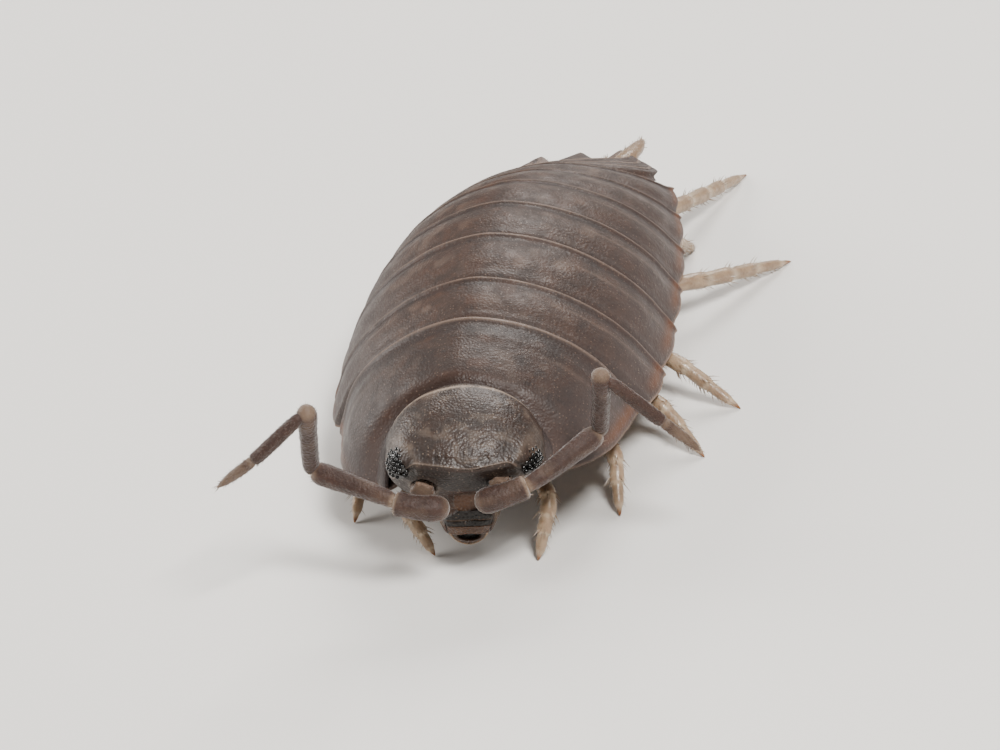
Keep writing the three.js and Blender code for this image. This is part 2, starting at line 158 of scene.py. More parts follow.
def turn_head(points):
    """The head's lean about +Y and then its turn about +Z, both about the neck."""
    neck = place(0, NECK_STATION, NECK_UP)
    turn = Matrix.Rotation(HEAD_TURN, 3, "Z") @ Matrix.Rotation(HEAD_LEAN, 3, "Y")
    return (np.asarray(points) - neck) @ np.array(turn).T + neck


def back_arch(station, across, inset, tuck=0.0):
    """The arched back. across is -1 at the right edge and 1 at the left. The side is the width
    times a power of the sine of the angle, and the height the same of the cosine, with a flare
    near the edges. inset draws it in all round, and tuck draws in its sides."""
    angle = across * math.pi / 2
    power = 2 / ARCH_POWER
    sine = np.sign(across) * np.abs(np.sin(angle)) ** power
    cosine = np.maximum(np.cos(angle), 0) ** power
    flare = FLARE * ease(np.abs(across), 0.8, 1) - tuck * ease(np.abs(across), 0.4, 1)
    side = sine * (curve(HALF_WIDTHS, station) - inset) + flare * np.sign(across)
    edge = curve(EDGE_HEIGHTS, station)
    up = edge + cosine * (curve(RIDGE_HEIGHTS, station) - edge - inset)
    return side, up


def outward(grid):
    """Unit normals of a grid of points, from the cross product of its two directions."""
    normal = np.cross(np.gradient(grid, axis=1), np.gradient(grid, axis=0))
    return normal / np.maximum(np.linalg.norm(normal, axis=-1, keepdims=True), 1e-12)


# Meshes
def net(rows, columns, ring, first=0):
    """Four-sided faces of a grid of rows by columns. ring joins the last column to the first."""
    r = np.arange(rows - 1)[:, None]
    c = np.arange(columns if ring else columns - 1)[None]
    a, b = r * columns + c, r * columns + (c + 1) % columns
    return np.stack([a, b, b + columns, a + columns], -1).reshape(-1, 4) + first


def fan(row, columns, centre, flip):
    """Triangles from one ring of a grid to a centre point, which close its end."""
    c = np.arange(columns)
    a, b = row * columns + c, row * columns + (c + 1) % columns
    middle = np.full(columns, centre)
    return np.stack([b, a, middle] if flip else [a, b, middle], -1)


def outlines(levels, up, columns, centre):
    """Level outlines as rounded Ds, one for each height. The side is the half width times a
    power of the sine. The station goes from a middle, at the share centre of the way from
    front to back, to the front or the back by the same power of the cosine."""
    table = np.array(levels)
    front, back, half, power = (curve(table[:, [0, k]], up)[:, None] for k in (1, 2, 3, 4))
    angle = np.linspace(0, 2 * math.pi, columns, endpoint=False)[None]
    sine = np.sign(np.sin(angle)) * np.abs(np.sin(angle)) ** (2 / power)
    cosine = np.sign(np.cos(angle)) * np.abs(np.cos(angle)) ** (2 / power)
    middle = blend(front, back, centre)
    reach = np.where(cosine > 0, middle - front, back - middle)
    side = sine * half
    height = np.broadcast_to(up[:, None], side.shape)
    return side, middle - cosine * reach, height, angle


def ball(rows, columns, margin):
    """A ball of radius 1 by two angles, as rings round the X axis, short of its poles by
    margin."""
    fall = np.linspace(margin, math.pi - margin, rows)[:, None]
    turn = np.linspace(0, 2 * math.pi, columns, endpoint=False)[None]
    parts = (np.cos(fall), np.sin(fall) * np.cos(turn), np.sin(fall) * np.sin(turn))
    return np.stack(np.broadcast_arrays(*parts), -1)


def closed(grid, marks=None):
    """A closed shape from rings of points: the grid's faces, with a fan over each end.
    marks are named numbers for each point, and the fans' centres take the mean of their ring."""
    rows, columns = grid.shape[:2]
    points = np.concatenate([grid.reshape(-1, 3), grid[[0, -1]].mean(1)])
    quads = net(rows, columns, True)
    triangles = np.concatenate([
        fan(0, columns, rows * columns, True), fan(rows - 1, columns, rows * columns + 1, False)])
    named = {}
    for name, value in (marks or {}).items():
        value = np.broadcast_to(value, (rows, columns))
        named[name] = np.concatenate([value.reshape(-1), value[[0, -1]].mean(1)])
    a, b, c = points[quads[:, 0]], points[quads[:, 1]], points[quads[:, 2]]
    d = points[quads[:, 3]]
    volume = (a * np.cross(b, c)).sum() + (a * np.cross(c, d)).sum()
    if volume < 0:
        quads, triangles = quads[:, ::-1], triangles[:, ::-1]
    return {"points": points, "quads": quads, "triangles": triangles, "marks": named}


def joined(shapes):
    """One shape from several: their points in a row, and their faces renumbered."""
    offset = np.cumsum([0] + [len(s["points"]) for s in shapes[:-1]])
    names = {name for s in shapes for name in s["marks"]}
    return {
        "points": np.concatenate([s["points"] for s in shapes]),
        "quads": np.concatenate([s["quads"] + o for s, o in zip(shapes, offset)]),
        "triangles": np.concatenate([s["triangles"] + o for s, o in zip(shapes, offset)]),
        "marks": {n: np.concatenate([
            s["marks"].get(n, np.zeros(len(s["points"]))) for s in shapes]) for n in names},
    }


def piece(name, shape, material, nodes=(), smooth=True):
    """Puts a shape into a mesh object in metres, which rides on the body and stands for nodes."""
    mesh = bpy.data.meshes.new(name)
    quads, triangles = shape["quads"], shape["triangles"]
    loops = np.concatenate([quads.reshape(-1), triangles.reshape(-1)]).astype(np.int32)
    sizes = np.concatenate([np.full(len(quads), 4), np.full(len(triangles), 3)]).astype(np.int32)
    starts = np.concatenate([[0], np.cumsum(sizes)[:-1]]).astype(np.int32)
    mesh.vertices.add(len(shape["points"]))
    mesh.vertices.foreach_set("co", (shape["points"] * MM).astype(np.float32).reshape(-1))
    mesh.loops.add(len(loops))
    mesh.loops.foreach_set("vertex_index", loops)
    mesh.polygons.add(len(sizes))
    mesh.polygons.foreach_set("loop_start", starts)
    mesh.polygons.foreach_set("loop_total", sizes)
    mesh.polygons.foreach_set("use_smooth", np.full(len(sizes), smooth))
    for mark, value in shape["marks"].items():
        attribute = mesh.attributes.new(mark, "FLOAT", "POINT")
        attribute.data.foreach_set("value", value.astype(np.float32))
    if "unwrap" in shape:
        layer = mesh.uv_layers.new(name="OFBake")
        layer.data.foreach_set("uv", shape["unwrap"][loops].astype(np.float32).reshape(-1))
    mesh.update(calc_edges=True)
    mesh.validate()
    mesh.materials.append(material)
    made = bpy.data.objects.new(name, mesh)
    bpy.context.scene.collection.objects.link(made)
    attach(made, "root")
    if nodes:
        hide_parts(*nodes)
    return made


# Materials
def linear(red, green, blue):
    """A colour given as 0 to 255 on a screen, as linear light."""
    value = np.array([red, green, blue]) / 255
    low, high = value / 12.92, ((value + 0.055) / 1.055) ** 2.4
    return (*np.where(value <= 0.04045, low, high), 1.0)


class Bench:
    """A short way to lay out nodes and join them."""

    def __init__(self, tree):
        self.tree = tree

    def node(self, kind, **settings):
        """One node. inputs are sockets to join or values to set."""
        made = self.tree.nodes.new(kind)
        inputs = settings.pop("inputs", {})
        for name, value in settings.items():
            setattr(made, name, value)
        for name, value in inputs.items():
            if isinstance(value, bpy.types.NodeSocket):
                self.tree.links.new(value, made.inputs[name])
            else:
                made.inputs[name].default_value = value
        return made

    def maths(self, operation, a, b):
        """The result of one sum or product."""
        return self.node("ShaderNodeMath", operation=operation, inputs={0: a, 1: b}).outputs[0]

    def mix(self, share, a, b):
        """Colour a going over to colour b as share goes from 0 to 1."""
        made = self.node("ShaderNodeMix", data_type="RGBA", clamp_factor=True)
        for index, value in ((0, share), (6, a), (7, b)):
            if isinstance(value, bpy.types.NodeSocket):
                self.tree.links.new(value, made.inputs[index])
            else:
                made.inputs[index].default_value = value
        return made.outputs[2]

    def noise(self, where, scale, detail=2.0, roughness=0.5):
        """Soft noise from 0 to 1."""
        made = self.node("ShaderNodeTexNoise", inputs={
            "Vector": where, "Scale": scale, "Detail": detail, "Roughness": roughness})
        return made.outputs["Fac"]

    def band(self, value, low, high):
        """0 at low and 1 at high, with a smooth step between them."""
        return self.node("ShaderNodeMapRange", interpolation_type="SMOOTHSTEP", inputs={
            "Value": value, "From Min": low, "From Max": high}).outputs[0]


def cuticle_group():
    """Fine skin shared by every hard part. Mottle is slow clouding, Speckle is sparse dark dots,
    Glint marks the tips of some granules, and Height is the granules over a finer grain. Size
    stretches all of them."""
    tree = bpy.data.node_groups.new("cuticle", "ShaderNodeTree")
    tree.interface.new_socket("Size", in_out="INPUT", socket_type="NodeSocketFloat")
    for name in ("Mottle", "Speckle", "Glint", "Height"):
        tree.interface.new_socket(name, in_out="OUTPUT", socket_type="NodeSocketFloat")
    bench = Bench(tree)
    size = bench.node("NodeGroupInput").outputs["Size"]
    where = bench.node("ShaderNodeTexCoord").outputs["Object"]
    scaled = bench.node("ShaderNodeVectorMath", operation="SCALE", inputs={0: where, "Scale": size})
    where = scaled.outputs[0]
    mottle = bench.band(bench.noise(where, 2600, 4.0, 0.62), 0.32, 0.7)
    dots = bench.band(bench.noise(where, 9000, 2.0, 0.5), 0.56, 0.7)
    pebbles = bench.node("ShaderNodeTexVoronoi", inputs={"Vector": where, "Scale": 16000.0})
    own = bench.node("ShaderNodeSeparateColor", inputs={"Color": pebbles.outputs["Color"]})
    tips = bench.band(pebbles.outputs["Distance"], 0.36, 0.12)
    glint = bench.maths("MULTIPLY", tips, bench.band(own.outputs["Red"], 0.55, 0.95))
    fine = bench.noise(where, 20000, 1.0, 0.5)
    height = bench.maths("ADD", bench.maths("MULTIPLY", pebbles.outputs["Distance"], -1.0),
                         bench.maths("MULTIPLY", fine, 0.25))
    out = bench.node("NodeGroupOutput")
    made = {"Mottle": mottle, "Speckle": dots, "Glint": glint, "Height": height}
    for name, socket in made.items():
        tree.links.new(socket, out.inputs[name])
    return tree


CUTICLE = cuticle_group()
GRAIN_DEPTH = 0.00004
COAT_ROUGHNESS = 0.12
SHEEN_ROUGHNESS = 0.4
FLESH_RADII = (1.0, 0.6, 0.4)
FLESH_DEPTH = 0.0003


def finish(name, base, dark, pale, size=1.0, rough=(0.3, 0.55), bump=0.35,
           coat=0.0, flesh=0.0, marks=(), specular=0.4, glitter=0.3, sheen=0.0):
    """A finish for one kind of skin. The base colour clouds towards dark and is dotted with it,
    goes pale where the pale mark is set, takes each further mark's colour by that mark, and
    is last dotted with the pale colour at granule tips, which are paler tips and also painted
    highlights. Roughness follows the clouding and falls at the bright dots, and the grain feeds
    the bump. Sheen is a faint shader lustre where the skin turns away."""
    material = bpy.data.materials.new(name)
    material.use_nodes = True
    bench = Bench(material.node_tree)
    shader = material.node_tree.nodes["Principled BSDF"]
    skin = bench.node("ShaderNodeGroup", node_tree=CUTICLE, inputs={"Size": size})
    colour = bench.mix(bench.maths("MULTIPLY", skin.outputs["Mottle"], 0.75), base, dark)
    colour = bench.mix(bench.maths("MULTIPLY", skin.outputs["Speckle"], 0.5), colour, dark)
    for mark, shade, strength in (("pale", pale, 1.0), *marks):
        amount = bench.node("ShaderNodeAttribute", attribute_name=mark).outputs["Fac"]
        colour = bench.mix(bench.maths("MULTIPLY", amount, strength), colour, shade)
    # Pale dots at granule tips: partly the skin's paler granules, partly painted highlights.
    colour = bench.mix(bench.maths("MULTIPLY", skin.outputs["Glint"], glitter), colour, pale)
    bench.tree.links.new(colour, shader.inputs["Base Color"])
    roughness = bench.node("ShaderNodeMapRange", inputs={
        "Value": skin.outputs["Mottle"], "To Min": rough[0], "To Max": rough[1]}).outputs[0]
    shine = bench.maths("MULTIPLY", skin.outputs["Glint"], -0.5 * glitter)
    bench.tree.links.new(bench.maths("ADD", roughness, shine), shader.inputs["Roughness"])
    grain = bench.node("ShaderNodeBump", inputs={
        "Height": skin.outputs["Height"], "Strength": bump, "Distance": GRAIN_DEPTH})
    bench.tree.links.new(grain.outputs["Normal"], shader.inputs["Normal"])
    shader.inputs["Coat Weight"].default_value = coat
    shader.inputs["Coat Roughness"].default_value = COAT_ROUGHNESS
    shader.inputs["Specular IOR Level"].default_value = specular
    shader.inputs["Sheen Weight"].default_value = sheen
    shader.inputs["Sheen Roughness"].default_value = SHEEN_ROUGHNESS
    shader.inputs["Subsurface Weight"].default_value = flesh
    shader.inputs["Subsurface Radius"].default_value = FLESH_RADII
    shader.inputs["Subsurface Scale"].default_value = FLESH_DEPTH
    return material


# The shell's grey sheen mark is a painted sheen on the flanks. Its dark mark holds the shell's own
# dark clouding and freckles, and also painted shade before the rims and round the head.
SHELL = finish("shell", linear(62, 45, 37), linear(40, 28, 23), linear(134, 112, 98),
               coat=0.0, rough=(0.46, 0.6), bump=0.24, glitter=0.4, specular=0.34,
               marks=(("dark", linear(32, 24, 22), 0.8), ("bloom", linear(76, 68, 67), 0.5),
                      ("rust", linear(96, 58, 36), 0.7)))
HEAD = finish("head_shell", linear(55, 41, 34), linear(34, 25, 21), linear(150, 132, 117),
              coat=0.03, rough=(0.4, 0.54), bump=0.34, glitter=0.5,
              marks=(("dark", linear(26, 19, 16), 0.85), ("rust", linear(58, 32, 18), 0.9)))
EYE = finish("eye_lens", linear(5, 5, 6), linear(3, 3, 4), linear(30, 23, 20),
             rough=(0.16, 0.18), bump=0.0, specular=0.75, glitter=0.0)
FEELER = finish("feeler_skin", linear(66, 45, 37), linear(46, 31, 26), linear(146, 124, 104),
                size=1.5, rough=(0.5, 0.66), bump=0.3, flesh=0.08, glitter=0.16, specular=0.3,
                sheen=0.35,
                marks=(("core", linear(46, 30, 24), 0.7),))
LIMB = finish("limb_skin", linear(160, 138, 114), linear(124, 101, 80), linear(194, 177, 153),
              coat=0.2, size=1.2, rough=(0.25, 0.42), bump=0.2, flesh=0.3, glitter=0.1,
              marks=(("claw", linear(112, 74, 42), 1.0), ("dusk", linear(104, 78, 58), 0.6)))
MOUTH = finish("mouth_skin", linear(56, 38, 27), linear(38, 25, 18), linear(156, 132, 108),
               coat=0.1, rough=(0.26, 0.4), bump=0.5, flesh=0.05, glitter=0.2, specular=0.25,
               marks=(("rust", linear(74, 47, 29), 1.0), ("dark", linear(15, 11, 9), 1.0)))
BRISTLE = finish("bristle", linear(150, 130, 110), linear(118, 98, 80), linear(180, 164, 144),
                 rough=(0.3, 0.45), bump=0.0, glitter=0.0)
HAIR = finish("hair", linear(96, 76, 64), linear(76, 56, 48), linear(126, 108, 94),
              rough=(0.35, 0.5), bump=0.0, glitter=0.0)


# Shell plates
ARCH_COLUMNS = 341
INNER_COLUMNS = 9
BELLY_COLUMNS = 41
BELLY_REACH = 0.62
BELLY_SAG = 0.15
LIP = 0.055
# The share of the half width where a plate with no skirt ends, and how its corners sweep back
PLATE_ROOT = SKIRT_ROOT + 0.04
SWEEP_POWER = 2.4


def plate(stations, insets, skirts, sweeps, keels, lifts, visible, salt, grain=1.0, tucks=0.0):
    """One plate as closed rings, one for each row of the given arrays. A ring runs over the
    arched back, round each hanging skirt and along the belly. On the back, domes of grain and
    slow clouds push the surface out along its normal where visible is 1. Gives the points, and
    for each of them its share of the half width, from 0 on the midline to 1 at a skirt."""
    given = (stations, insets, skirts, sweeps, keels, lifts)
    station, inset, skirt, sweep, keel, lift = (np.asarray(v, float)[:, None] for v in given)
    tuck = np.broadcast_to(tucks, len(station))[:, None]
    seen = np.asarray(visible, float)[:, None]
    reach = blend(PLATE_ROOT, 1, skirt)
    across = reach * np.linspace(-1, 1, ARCH_COLUMNS)[None]
    at = station + sweep * np.abs(across) ** SWEEP_POWER
    side, up = back_arch(at, across, inset, tuck)
    arch = place(side, at, up)
    normal = outward(arch)
    if normal[len(normal) // 2, ARCH_COLUMNS // 2, 2] < 0:
        normal = -normal
    fade = seen * ease(1 - np.abs(across) / reach, 0, 0.03)
    push = 0.004 * grains(arch, 0.16, salt) * ease(cloud(arch, 0.7, salt + 5), -0.6, 0.4)
    push = grain * push + 0.012 * cloud(arch, 0.9, salt + 9) + 0.003 * cloud(arch, 0.3, salt + 11)
    arch = arch + normal * (push * fade)[..., None]

    def inner(hand):
        share = np.linspace(0, 1, INNER_COLUMNS)[None]
        near = blend(reach, SKIRT_ROOT, share) * hand
        at = station + sweep * np.abs(near) ** SWEEP_POWER
        side, up = back_arch(at, near, inset, tuck)
        depth = blend(0.09, SKIRT_THICKNESS, share**0.7)
        return place(side - hand * depth, at, up + 0.03 - 0.1 * share)

    share = np.linspace(BELLY_REACH, -BELLY_REACH, BELLY_COLUMNS)[None]
    sag = BELLY_SAG * (1 - (share / BELLY_REACH) ** 2)
    belly_up = curve(BELLY_HEIGHTS, keel) + lift - sag
    belly = place(share * curve(HALF_WIDTHS, keel), keel, belly_up)
    grid = np.concatenate([arch, inner(1), belly, inner(-1)[:, ::-1]], axis=1)
    skirt_share = np.ones((len(station), INNER_COLUMNS))
    shares = np.concatenate([
        np.broadcast_to(across, arch.shape[:2]), skirt_share,
        np.broadcast_to(share, belly.shape[:2]), skirt_share], axis=1)
    return grid, np.abs(shares)


# Depth of the plate's top below the full outline, by the share of the way to its rear edge
TOP_PROFILE = [(0, 0.28), (0.07, 0.19), (0.16, 0.12), (0.26, 0.095), (0.42, 0.035), (0.6, 0.008),
               (0.78, 0.022), (0.88, 0.045), (0.935, 0.042), (0.965, 0.012), (0.985, 0.0), (1, 0.008)]
COLLAR_PROFILE = [(0, 0.34), (0.1, 0.29), (0.15, 0.2), (0.185, 0.11), (0.22, 0.055), (0.27, 0.025),
                  (0.36, 0.006), (0.5, 0.0), (0.68, 0.008), (0.76, 0.0), (0.83, 0.03), (0.9, 0.045),
                  (0.95, 0.04), (0.972, 0.008), (0.987, 0.0), (1, 0.008)]
TRUNK_STATIONS = TRUNK_START + np.concatenate([[0], np.cumsum(TRUNK_LENGTHS)])
TOP_ROWS = 74


# The collar's flange reaches forward under the head, at these distances behind its own front
COLLAR_FLANGE = np.array([0.45, 0.2, 0.03])
COLLAR_FLANGE_INSETS = (0.3, 0.26)
LIP_INSET = 0.006


def trunk_plate(i):
    """Rows of one trunk plate: a flange under the plate in front, the shown top, a rounded lip
    at the rear edge, and the underside back to the next plate's flange."""
    start, end = TRUNK_STATIONS[i], TRUNK_STATIONS[i + 1]
    first = i == 0
    front = COLLAR_WRAP if first else TRUNK_CORNERS[i - 1]
    rear = TRUNK_CORNERS[i]
    hind = end + OVERHANG - LIP
    share = np.linspace(0, 1, TOP_ROWS) ** 1.05
    arc = np.linspace(0, math.pi, 11)[1:-1]
    under = np.linspace(hind, end, 5)
    if first:
        shown = start
        flange = start + COLLAR_FLANGE
        flange_insets = np.linspace(*COLLAR_FLANGE_INSETS, len(flange))
    else:
        shown = start + OVERHANG + GAP - 0.12
        flange = np.linspace(start + GAP, shown - 0.04, 4)
        flange_insets = np.full(len(flange), RIM + GAP)
    before, after = len(flange), len(arc) + len(under)
    top_insets = curve(COLLAR_PROFILE if first else TOP_PROFILE, share)
    corner_front = blend(0.84 if first else 0.86, 1, ease(share, 0, 0.22))
    corner_rear = 1 - 0.04 * ease(share, 0.86, 1) ** 2
    corners = corner_front * corner_rear
    stations = np.concatenate([
        flange, blend(shown, hind, share), hind + LIP * np.sin(arc), under])
    insets = np.concatenate([
        flange_insets, top_insets, LIP_INSET + LIP * (1 - np.cos(arc)),
        np.linspace(LIP_INSET + 2 * LIP, RIM, len(under))])
    skirts = np.concatenate([
        np.full(before, 0.8), corners, 0.96 - 0.02 * (1 - np.cos(arc)),
        np.linspace(0.9, 0.3, len(under))])
    sweeps = np.concatenate([
        np.full(before, front), blend(front, rear, share), np.full(after, rear)])
    visible = np.concatenate([
        np.zeros(before), ease(share, 0.02, 0.1), 0.5 + 0.5 * np.cos(arc), np.zeros(len(under))])
    count = len(stations)
    keels = blend(start + GAP, end, np.linspace(0, 1, count))
    lift = 0.08 * np.cos(np.linspace(0, 2 * math.pi, count)) - 0.02
    beneath = TUCK if i == 1 else 0
    drawn = TUCK * ease(share, 0.3, 0.8) if first else beneath * (1 - ease(share, 0, 0.2))
    tucks = np.concatenate([
        np.full(before, beneath), drawn, np.full(after, TUCK if first else 0)])
    grid, across = plate(stations, insets, skirts, sweeps, keels, lift, visible, 11 * i + 3,
                         tucks=tucks)
    along = np.concatenate([np.full(before, -0.2), share, np.ones(after)])[:, None]
    reach = np.concatenate([np.ones(before), corners, np.ones(after)])[:, None]
    return closed(grid, trunk_marks(i, grid, along, across, reach))


def trunk_marks(i, grid, along, across, reach):
    """Colour marks of one trunk plate, from humps and eased steps of the share along it, of
    the share across it and of slow clouds. Pale are the rims, a few spots and a line near each
    side. Dark are clouds, freckles, painted shade in a band before the rear rim with a fainter one
    at the front under the plate ahead, and painted shade in the collar's crease round the head.
    A painted sheen greys the sides, and rust reddens the side margins and some blotches."""
    first = i == 0
    edge = across / blend(PLATE_ROOT, 1, reach)
    ripple = 0.02 * cloud(grid, 0.6, 40 + i)
    rear_rim = ease(along + 0.3 * ripple, 0.962, 0.985)
    side_rim = ease(edge + 0.15 * ripple, 0.965, 0.99)
    inside = (1 - side_rim) * (1 - rear_rim)
    # Painted shade: a dark band in the furrow before the rear rim, and a fainter one at the front
    # under the plate ahead.
    band = hump(along + ripple, 0.87, 0.08) + 0.4 * hump(along + ripple, 0.12, 0.08)
    furrow_shade = (0.45 if first else 0.7) * band * inside
    clouds = ease(-cloud(grid, 0.45, 80 + i), 0.1, 0.9)
    blotches = ease(cloud(grid, 0.28, 120 + i), 0.1, 0.8) * hump(across, 0.0, 0.55)
    freckles = ease(cloud(grid, 0.16, 100 + i), 0.35, 0.8)
    spots = ease(cloud(grid, 0.32, 60 + i), 0.15, 0.7) * hump(across, 0.3, 0.2)
    lines = hump(along + 0.12 * (1 - across) + ripple, 0.72, 0.03) * ease(across, 0.3, 0.5)
    russet = hump(edge, 0.925, 0.04) * ease(along, 0.2, 0.6)
    pale = (0.75 if first else 0.42) * rear_rim + 0.9 * side_rim + 0.2 * lines
    dark = furrow_shade + 0.35 * clouds + 0.4 * freckles * (1 - side_rim)
    rust = russet + 0.2 * blotches * (1 - rear_rim)
    if first:
        # Painted shade: the crease round the head is darkened, less so on the skirts, with a reddish
        # tint along it. The added 0.45 darkens the whole collar.
        round_head = along + 0.12 * across
        crease = (1 - ease(round_head, 0.19, 0.25)) * (1 - 0.7 * ease(across, 0.5, 0.8))
        dark = dark + crease + 0.45
        rust = rust + 0.2 * hump(round_head, 0.22, 0.05)
    return {
        "pale": np.clip(pale + 0.2 * spots * hump(along, 0.5, 0.3), 0, 1),
        "dark": np.clip(dark, 0, 1),
        # Painted sheen: the sides are painted greyer towards their edges.
        "bloom": ease(across, 0.3, 0.9) * (1 - side_rim),
        "rust": np.clip(rust, 0, 1),
    }


for index in range(7):
    node = f"trunk_plate_{index + 1}"
    piece(f"shell_{node}", trunk_plate(index), SHELL, [node])


def tail_plates():
    """The five short tail plates in one piece: each rises from under the one in front to a
    raised rear rim. The first two are narrow, and the others have skirts that point back."""
    station = TRUNK_STATIONS[-1] + OVERHANG + GAP - 0.06
    sweep = TRUNK_CORNERS[-1]
    shapes = []
    for i, length in enumerate(TAIL_STEPS):
        wide = i > 1
        share = np.linspace(0, 1, 26)
        arc = np.linspace(0, math.pi, 7)[1:-1]
        lip = 0.035
        hind = station + length
        begin = station - 0.35
        stations = np.concatenate([blend(begin, hind, share), hind + lip * np.sin(arc),
                                   np.linspace(hind, hind - 0.3, 3)])
        base = 0.1 if wide else 0.3
        profile = base + 0.16 * (1 - ease(share, 0.3, 0.62)) + 0.03 * hump(share, 0.84, 0.05)
        insets = np.concatenate([profile, base + lip * (1 - np.cos(arc)), np.full(3, base + 0.12)])
        skirts = np.concatenate([
            blend(0.3, 1 if wide else 0.12, ease(share, 0.2, 0.7)),
            np.full(len(arc), 0.97 if wide else 0.1), np.full(3, 0.2)])
        count = len(stations)
        keels = blend(station - 0.1, hind - 0.1, np.linspace(0, 1, count))
        visible = np.concatenate([ease(share, 0.3, 0.5), np.zeros(count - len(share))])
        grid, across = plate(stations, insets, skirts, np.full(count, sweep + 0.1 * wide), keels,
                             np.full(count, 0.05), visible, 200 + 13 * i, 0.8)
        along = np.concatenate([share, np.ones(count - len(share))])[:, None]
        rim = ease(along, 0.9, 0.96)
        # Painted shade: a dark band before each raised rim. Painted sheen: the sides are painted
        # greyer towards their edges.
        marks = {"pale": 0.6 * rim, "dark": 0.6 * hump(along, 0.84, 0.06),
                 "bloom": ease(across, 0.4, 1)}
        shapes.append(closed(grid, marks))
        station += length
        sweep *= 0.93
    return joined(shapes)


piece("shell_tail_plates", tail_plates(), SHELL, ["tail_plates"])
TAIL_END = TRUNK_STATIONS[-1] + OVERHANG + sum(TAIL_STEPS)
POINT_LENGTH = 1.0


def tail_point():
    """The last plate: rings of a flattened oval whose half width falls along a hollow curve to
    a narrow rounded tip, with a shallow groove down the middle of the top."""
    share = np.linspace(0, 1, 60)[:, None]
    angle = np.linspace(0, 2 * math.pi, 96, endpoint=False)[None]
    half = blend(0.9, 0.07, share**0.8) * np.sqrt(1 - 0.98 * ease(share, 0.93, 1))
    up = blend(1.86, 1.52, share)
    depth = blend(0.42, 0.1, share) * np.sqrt(1 - 0.9 * ease(share, 0.93, 1))
    groove = 0.05 * hump(np.cos(angle), 0, 0.35) * (np.sin(angle) > 0) * (1 - share)
    station = TAIL_END - 0.14 + POINT_LENGTH * share
    top = up - depth / 2 + depth / 2 * np.sin(angle) - groove
    grid = place(half * np.cos(angle), station, top)
    edge = ease(np.abs(np.cos(angle)), 0.9, 1)
    pale = np.clip(edge * 0.7 + ease(share, 0.85, 1), 0, 1)
    # Painted sheen: the whole tip is painted a little greyer.
    return closed(grid, {"pale": pale, "dark": 0.0, "bloom": 0.4})


piece("shell_tail_point", tail_point(), SHELL, ["tail_point"])


# Round limbs and bristles
def rail(points, count):
    """Even steps along a smooth line through points: a cubic curve by the chord lengths."""
    points = np.asarray(points, float)
    length = np.concatenate([[0], np.cumsum(np.linalg.norm(np.diff(points, axis=0), axis=1))])
    where = np.linspace(0, length[-1], count)
    line = np.stack([curve(np.stack([length, points[:, k]], 1), where) for k in range(3)], -1)
    return line, where / length[-1]


def rings(line, radii, sides, flat=1.0):
    """Rings of points round a line, with their outward spokes and the line's direction. Each
    ring lies across that direction, starts from the same carried-over side direction, and has
    the given radius, squeezed by flat."""
    ahead = np.gradient(line, axis=0)
    ahead /= np.linalg.norm(ahead, axis=1, keepdims=True)
    sides_of = np.zeros_like(line)
    carried = np.array([0.0, 0.0, 1.0]) if abs(ahead[0, 2]) < 0.9 else np.array([0.0, 1.0, 0.0])
    for i, direction in enumerate(ahead):
        carried = carried - direction * (carried @ direction)
        carried = carried / np.linalg.norm(carried)
        sides_of[i] = carried
    other = np.cross(ahead, sides_of)
    angle = np.linspace(0, 2 * math.pi, sides, endpoint=False)
    spoke = (sides_of[:, None] * (np.cos(angle) * flat)[None, :, None]
             + other[:, None] * np.sin(angle)[None, :, None])
    radii = np.asarray(radii, float)
    if radii.ndim == 1:
        radii = radii[:, None]
    reach = np.broadcast_to(radii, (len(line), sides))[..., None]
    return line[:, None] + spoke * reach, spoke, ahead


# The side of one spine's patch on the bake map, and the map's columns, one for each limb
PATCH = 0.003
TILES = 32


def bristles(roots, directions, lengths, thickness, unwrap, lean):
    """Tapered four-sided spines, each bent a little: a ring at the root, a ring at the middle
    moved by lean, and a point. unwrap gives the place of each one's patch on the bake map."""
    roots, directions = np.asarray(roots, float), np.asarray(directions, float)
    directions = directions / np.linalg.norm(directions, axis=1, keepdims=True)
    helper = np.where(np.abs(directions[:, 2:3]) < 0.8, [[0, 0, 1.0]], [[1.0, 0, 0]])
    a = np.cross(directions, helper)
    a /= np.linalg.norm(a, axis=1, keepdims=True)
    b = np.cross(directions, a)
    lengths = np.asarray(lengths, float)[:, None]
    levels = []
    for share, wide in ((0.0, 1.0), (0.5, 0.72)):
        middle = roots + directions * lengths * share + lean * lengths * share**2
        for k in range(4):
            turn = k * math.pi / 2
            levels.append(middle + thickness * wide * (a * math.cos(turn) + b * math.sin(turn)))
    levels.append(roots + directions * lengths + lean * lengths)
    count = len(roots)
    points = np.stack(levels, 1).reshape(-1, 3)
    first = np.arange(count)[:, None] * 9
    quads = np.concatenate([
        first + np.array([[k, (k + 1) % 4, 4 + (k + 1) % 4, 4 + k]]) for k in range(4)])
    tips = np.concatenate([first + np.array([[4 + k, 4 + (k + 1) % 4, 8]]) for k in range(4)])
    base = np.concatenate([first + np.array([[0, 3, 2]]), first + np.array([[0, 2, 1]])])
    spot = np.array([[0, 0], [1, 0], [1, 1], [0, 1]] * 2 + [[0.5, 0.5]]) * PATCH
    patch = (np.asarray(unwrap, float)[:, None] + spot[None]).reshape(-1, 2)
    return {"points": points, "quads": quads, "triangles": np.concatenate([tips, base]),
            "marks": {}, "unwrap": patch}


def gather(shapes):
    """One bristle shape from several, with their places on the bake map."""
    whole = joined(shapes)
    whole["unwrap"] = np.concatenate([s["unwrap"] for s in shapes])
    return whole


CHANCE = np.random.default_rng(7)
TURNS = 64


